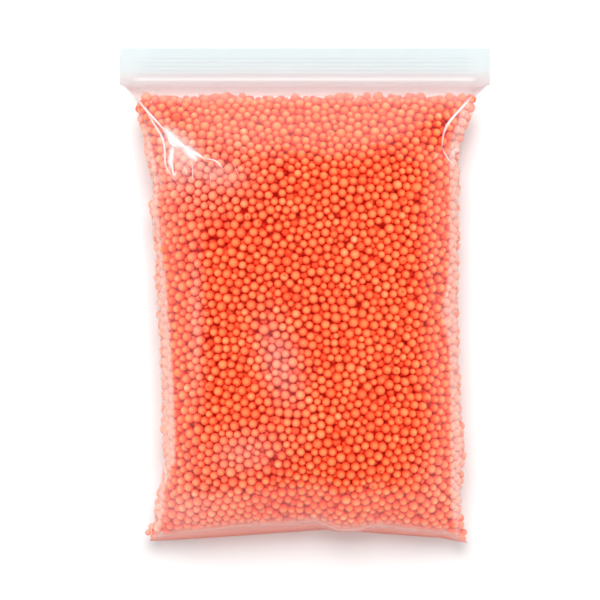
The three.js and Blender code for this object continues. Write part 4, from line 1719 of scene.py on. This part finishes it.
@dataclass
class Studio:
    """A white floor, soft lamps and a camera straight above the bag."""

    form: BagForm
    view_width: float = 227.0
    view_middle: tuple[float, float] = (-1.9, -1.1)
    distance: float = 950.0
    floor: float = 1.0
    floor_white: float = 0.12
    floor_drop: float = 0.2
    floor_shade: float = 0.92
    sensor: float = 36.0
    sky: float = 0.34
    sky_band: tuple[float, float] = (0.34, 0.72)
    lamp_aim: float = 0.02
    lamps: tuple[Lamp, ...] = (
        Lamp("overhead", (-0.02, 0.42, 1.12), (0.5, 0.5), 12.0),
        Lamp("top_panel", (0.0, 0.95, 0.4), (0.9, 0.45), 0.8, mirrored=True),
        Lamp("low_panel", (0.0, -0.95, 0.3), (0.9, 0.35), 1.9),
        Lamp("left_panel", (-0.8, 0.0, 0.12), (0.6, 0.24), 1.3),
        Lamp("right_panel", (0.8, 0.0, 0.12), (0.6, 0.24), 1.3),
    )

    def build(self) -> None:
        """Builds the floor, the lamps, the world and the camera."""
        self._floor()
        self._camera()
        self._lamps()
        self._world()
        bpy.context.scene.view_settings.view_transform = "Standard"

    def _floor(self) -> None:
        """A pale floor under the bag, which the film mirrors as plain white."""
        deselect_all()
        bpy.ops.mesh.primitive_plane_add(size=self.floor, location=(0, 0, -self.floor_drop * MM))
        floor = new_primitive("floor")
        settle(floor)
        material = bare_material("white_floor")
        shade = (self.floor_shade, self.floor_shade, self.floor_shade, 1)
        matte = add_node(material, "ShaderNodeBsdfDiffuse", Color=shade)
        white = add_node(material, "ShaderNodeEmission", Color=(1, 1, 1, 1), Strength=1.0)
        ray = add_node(material, "ShaderNodeLightPath").outputs
        share = work_out(
            material, "MULTIPLY_ADD", ray["Is Camera Ray"], self.floor_white, ray["Is Glossy Ray"]
        )
        mixed = mix_shaders(material, share, matte.outputs[0], white.outputs[0])
        output = add_node(material, "ShaderNodeOutputMaterial")
        link(material, mixed, output.inputs["Surface"])
        floor.data.materials.append(material)

    def _camera(self) -> None:
        """A camera that looks straight down at the bag."""
        data = bpy.data.cameras.new("camera")
        data.sensor_width = self.sensor
        data.lens = self.sensor * self.distance / self.view_width
        camera = bpy.data.objects.new("camera", data)
        camera.location = Vector((*self.view_middle, self.distance + self.form.strip_level)) * MM
        bpy.context.scene.collection.objects.link(camera)
        bpy.context.scene.camera = camera

    def _lamps(self) -> None:
        """A soft lamp overhead and low panels round the bag; only the top panel shows in the film's gloss.
        """
        for lamp in self.lamps:
            data = bpy.data.lights.new(lamp.name, "AREA")
            data.shape = "RECTANGLE"
            data.size, data.size_y = lamp.size
            data.energy = lamp.watts
            light = bpy.data.objects.new(lamp.name, data)
            light.location = lamp.place
            aim = Vector((0, 0, self.lamp_aim)) - Vector(lamp.place)
            light.rotation_euler = aim.to_track_quat("-Z", "Y").to_euler()
            light.visible_glossy = lamp.mirrored
            bpy.context.scene.collection.objects.link(light)

    def _world(self) -> None:
        """An even sky that the film mirrors as a white band round the horizon."""
        world = bpy.data.worlds.new("sky")
        world.use_nodes = True
        place = add_node(world, "ShaderNodeTexCoord")
        split = add_node(world, "ShaderNodeSeparateXYZ")
        link(world, place.outputs["Generated"], split.inputs[0])
        low, high = self.sky_band
        ends = {"From Min": low, "From Max": high, "To Min": 1.0, "To Max": 0.0}
        band = add_node(world, "ShaderNodeMapRange", **ends)
        link(world, split.outputs["Z"], band.inputs["Value"])
        ray = add_node(world, "ShaderNodeLightPath").outputs
        seen = add_node(world, "ShaderNodeMix", A=self.sky)
        link(world, ray["Is Glossy Ray"], seen.inputs["Factor"])
        link(world, band.outputs["Result"], seen.inputs["B"])
        shown = work_out(world, "MAXIMUM", seen.outputs["Result"], ray["Is Camera Ray"])
        background = world.node_tree.nodes["Background"]
        background.inputs["Color"].default_value = (1, 1, 1, 1)
        link(world, shown, background.inputs["Strength"])
        bpy.context.scene.world = world


def main() -> None:
    """Builds the bag, its beads and the studio."""
    logging.basicConfig(level=logging.INFO, format="%(name)s: %(message)s")
    form = BagForm.of_frame()
    packing = BeadPacking(form)
    packing.settle()
    film_bag = FilmBag(form, packing)
    panels = film_bag.build()
    for panel in panels:
        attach(panel, BODY)
        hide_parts(BAG_NODE)
    pieces = BeadFill(packing).build()
    for piece in pieces:
        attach(piece, BODY)
    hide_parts(FILL_NODE)
    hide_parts(*LOOSE_NODES)
    Studio(form).build()


if __name__ == "__main__":
    main()
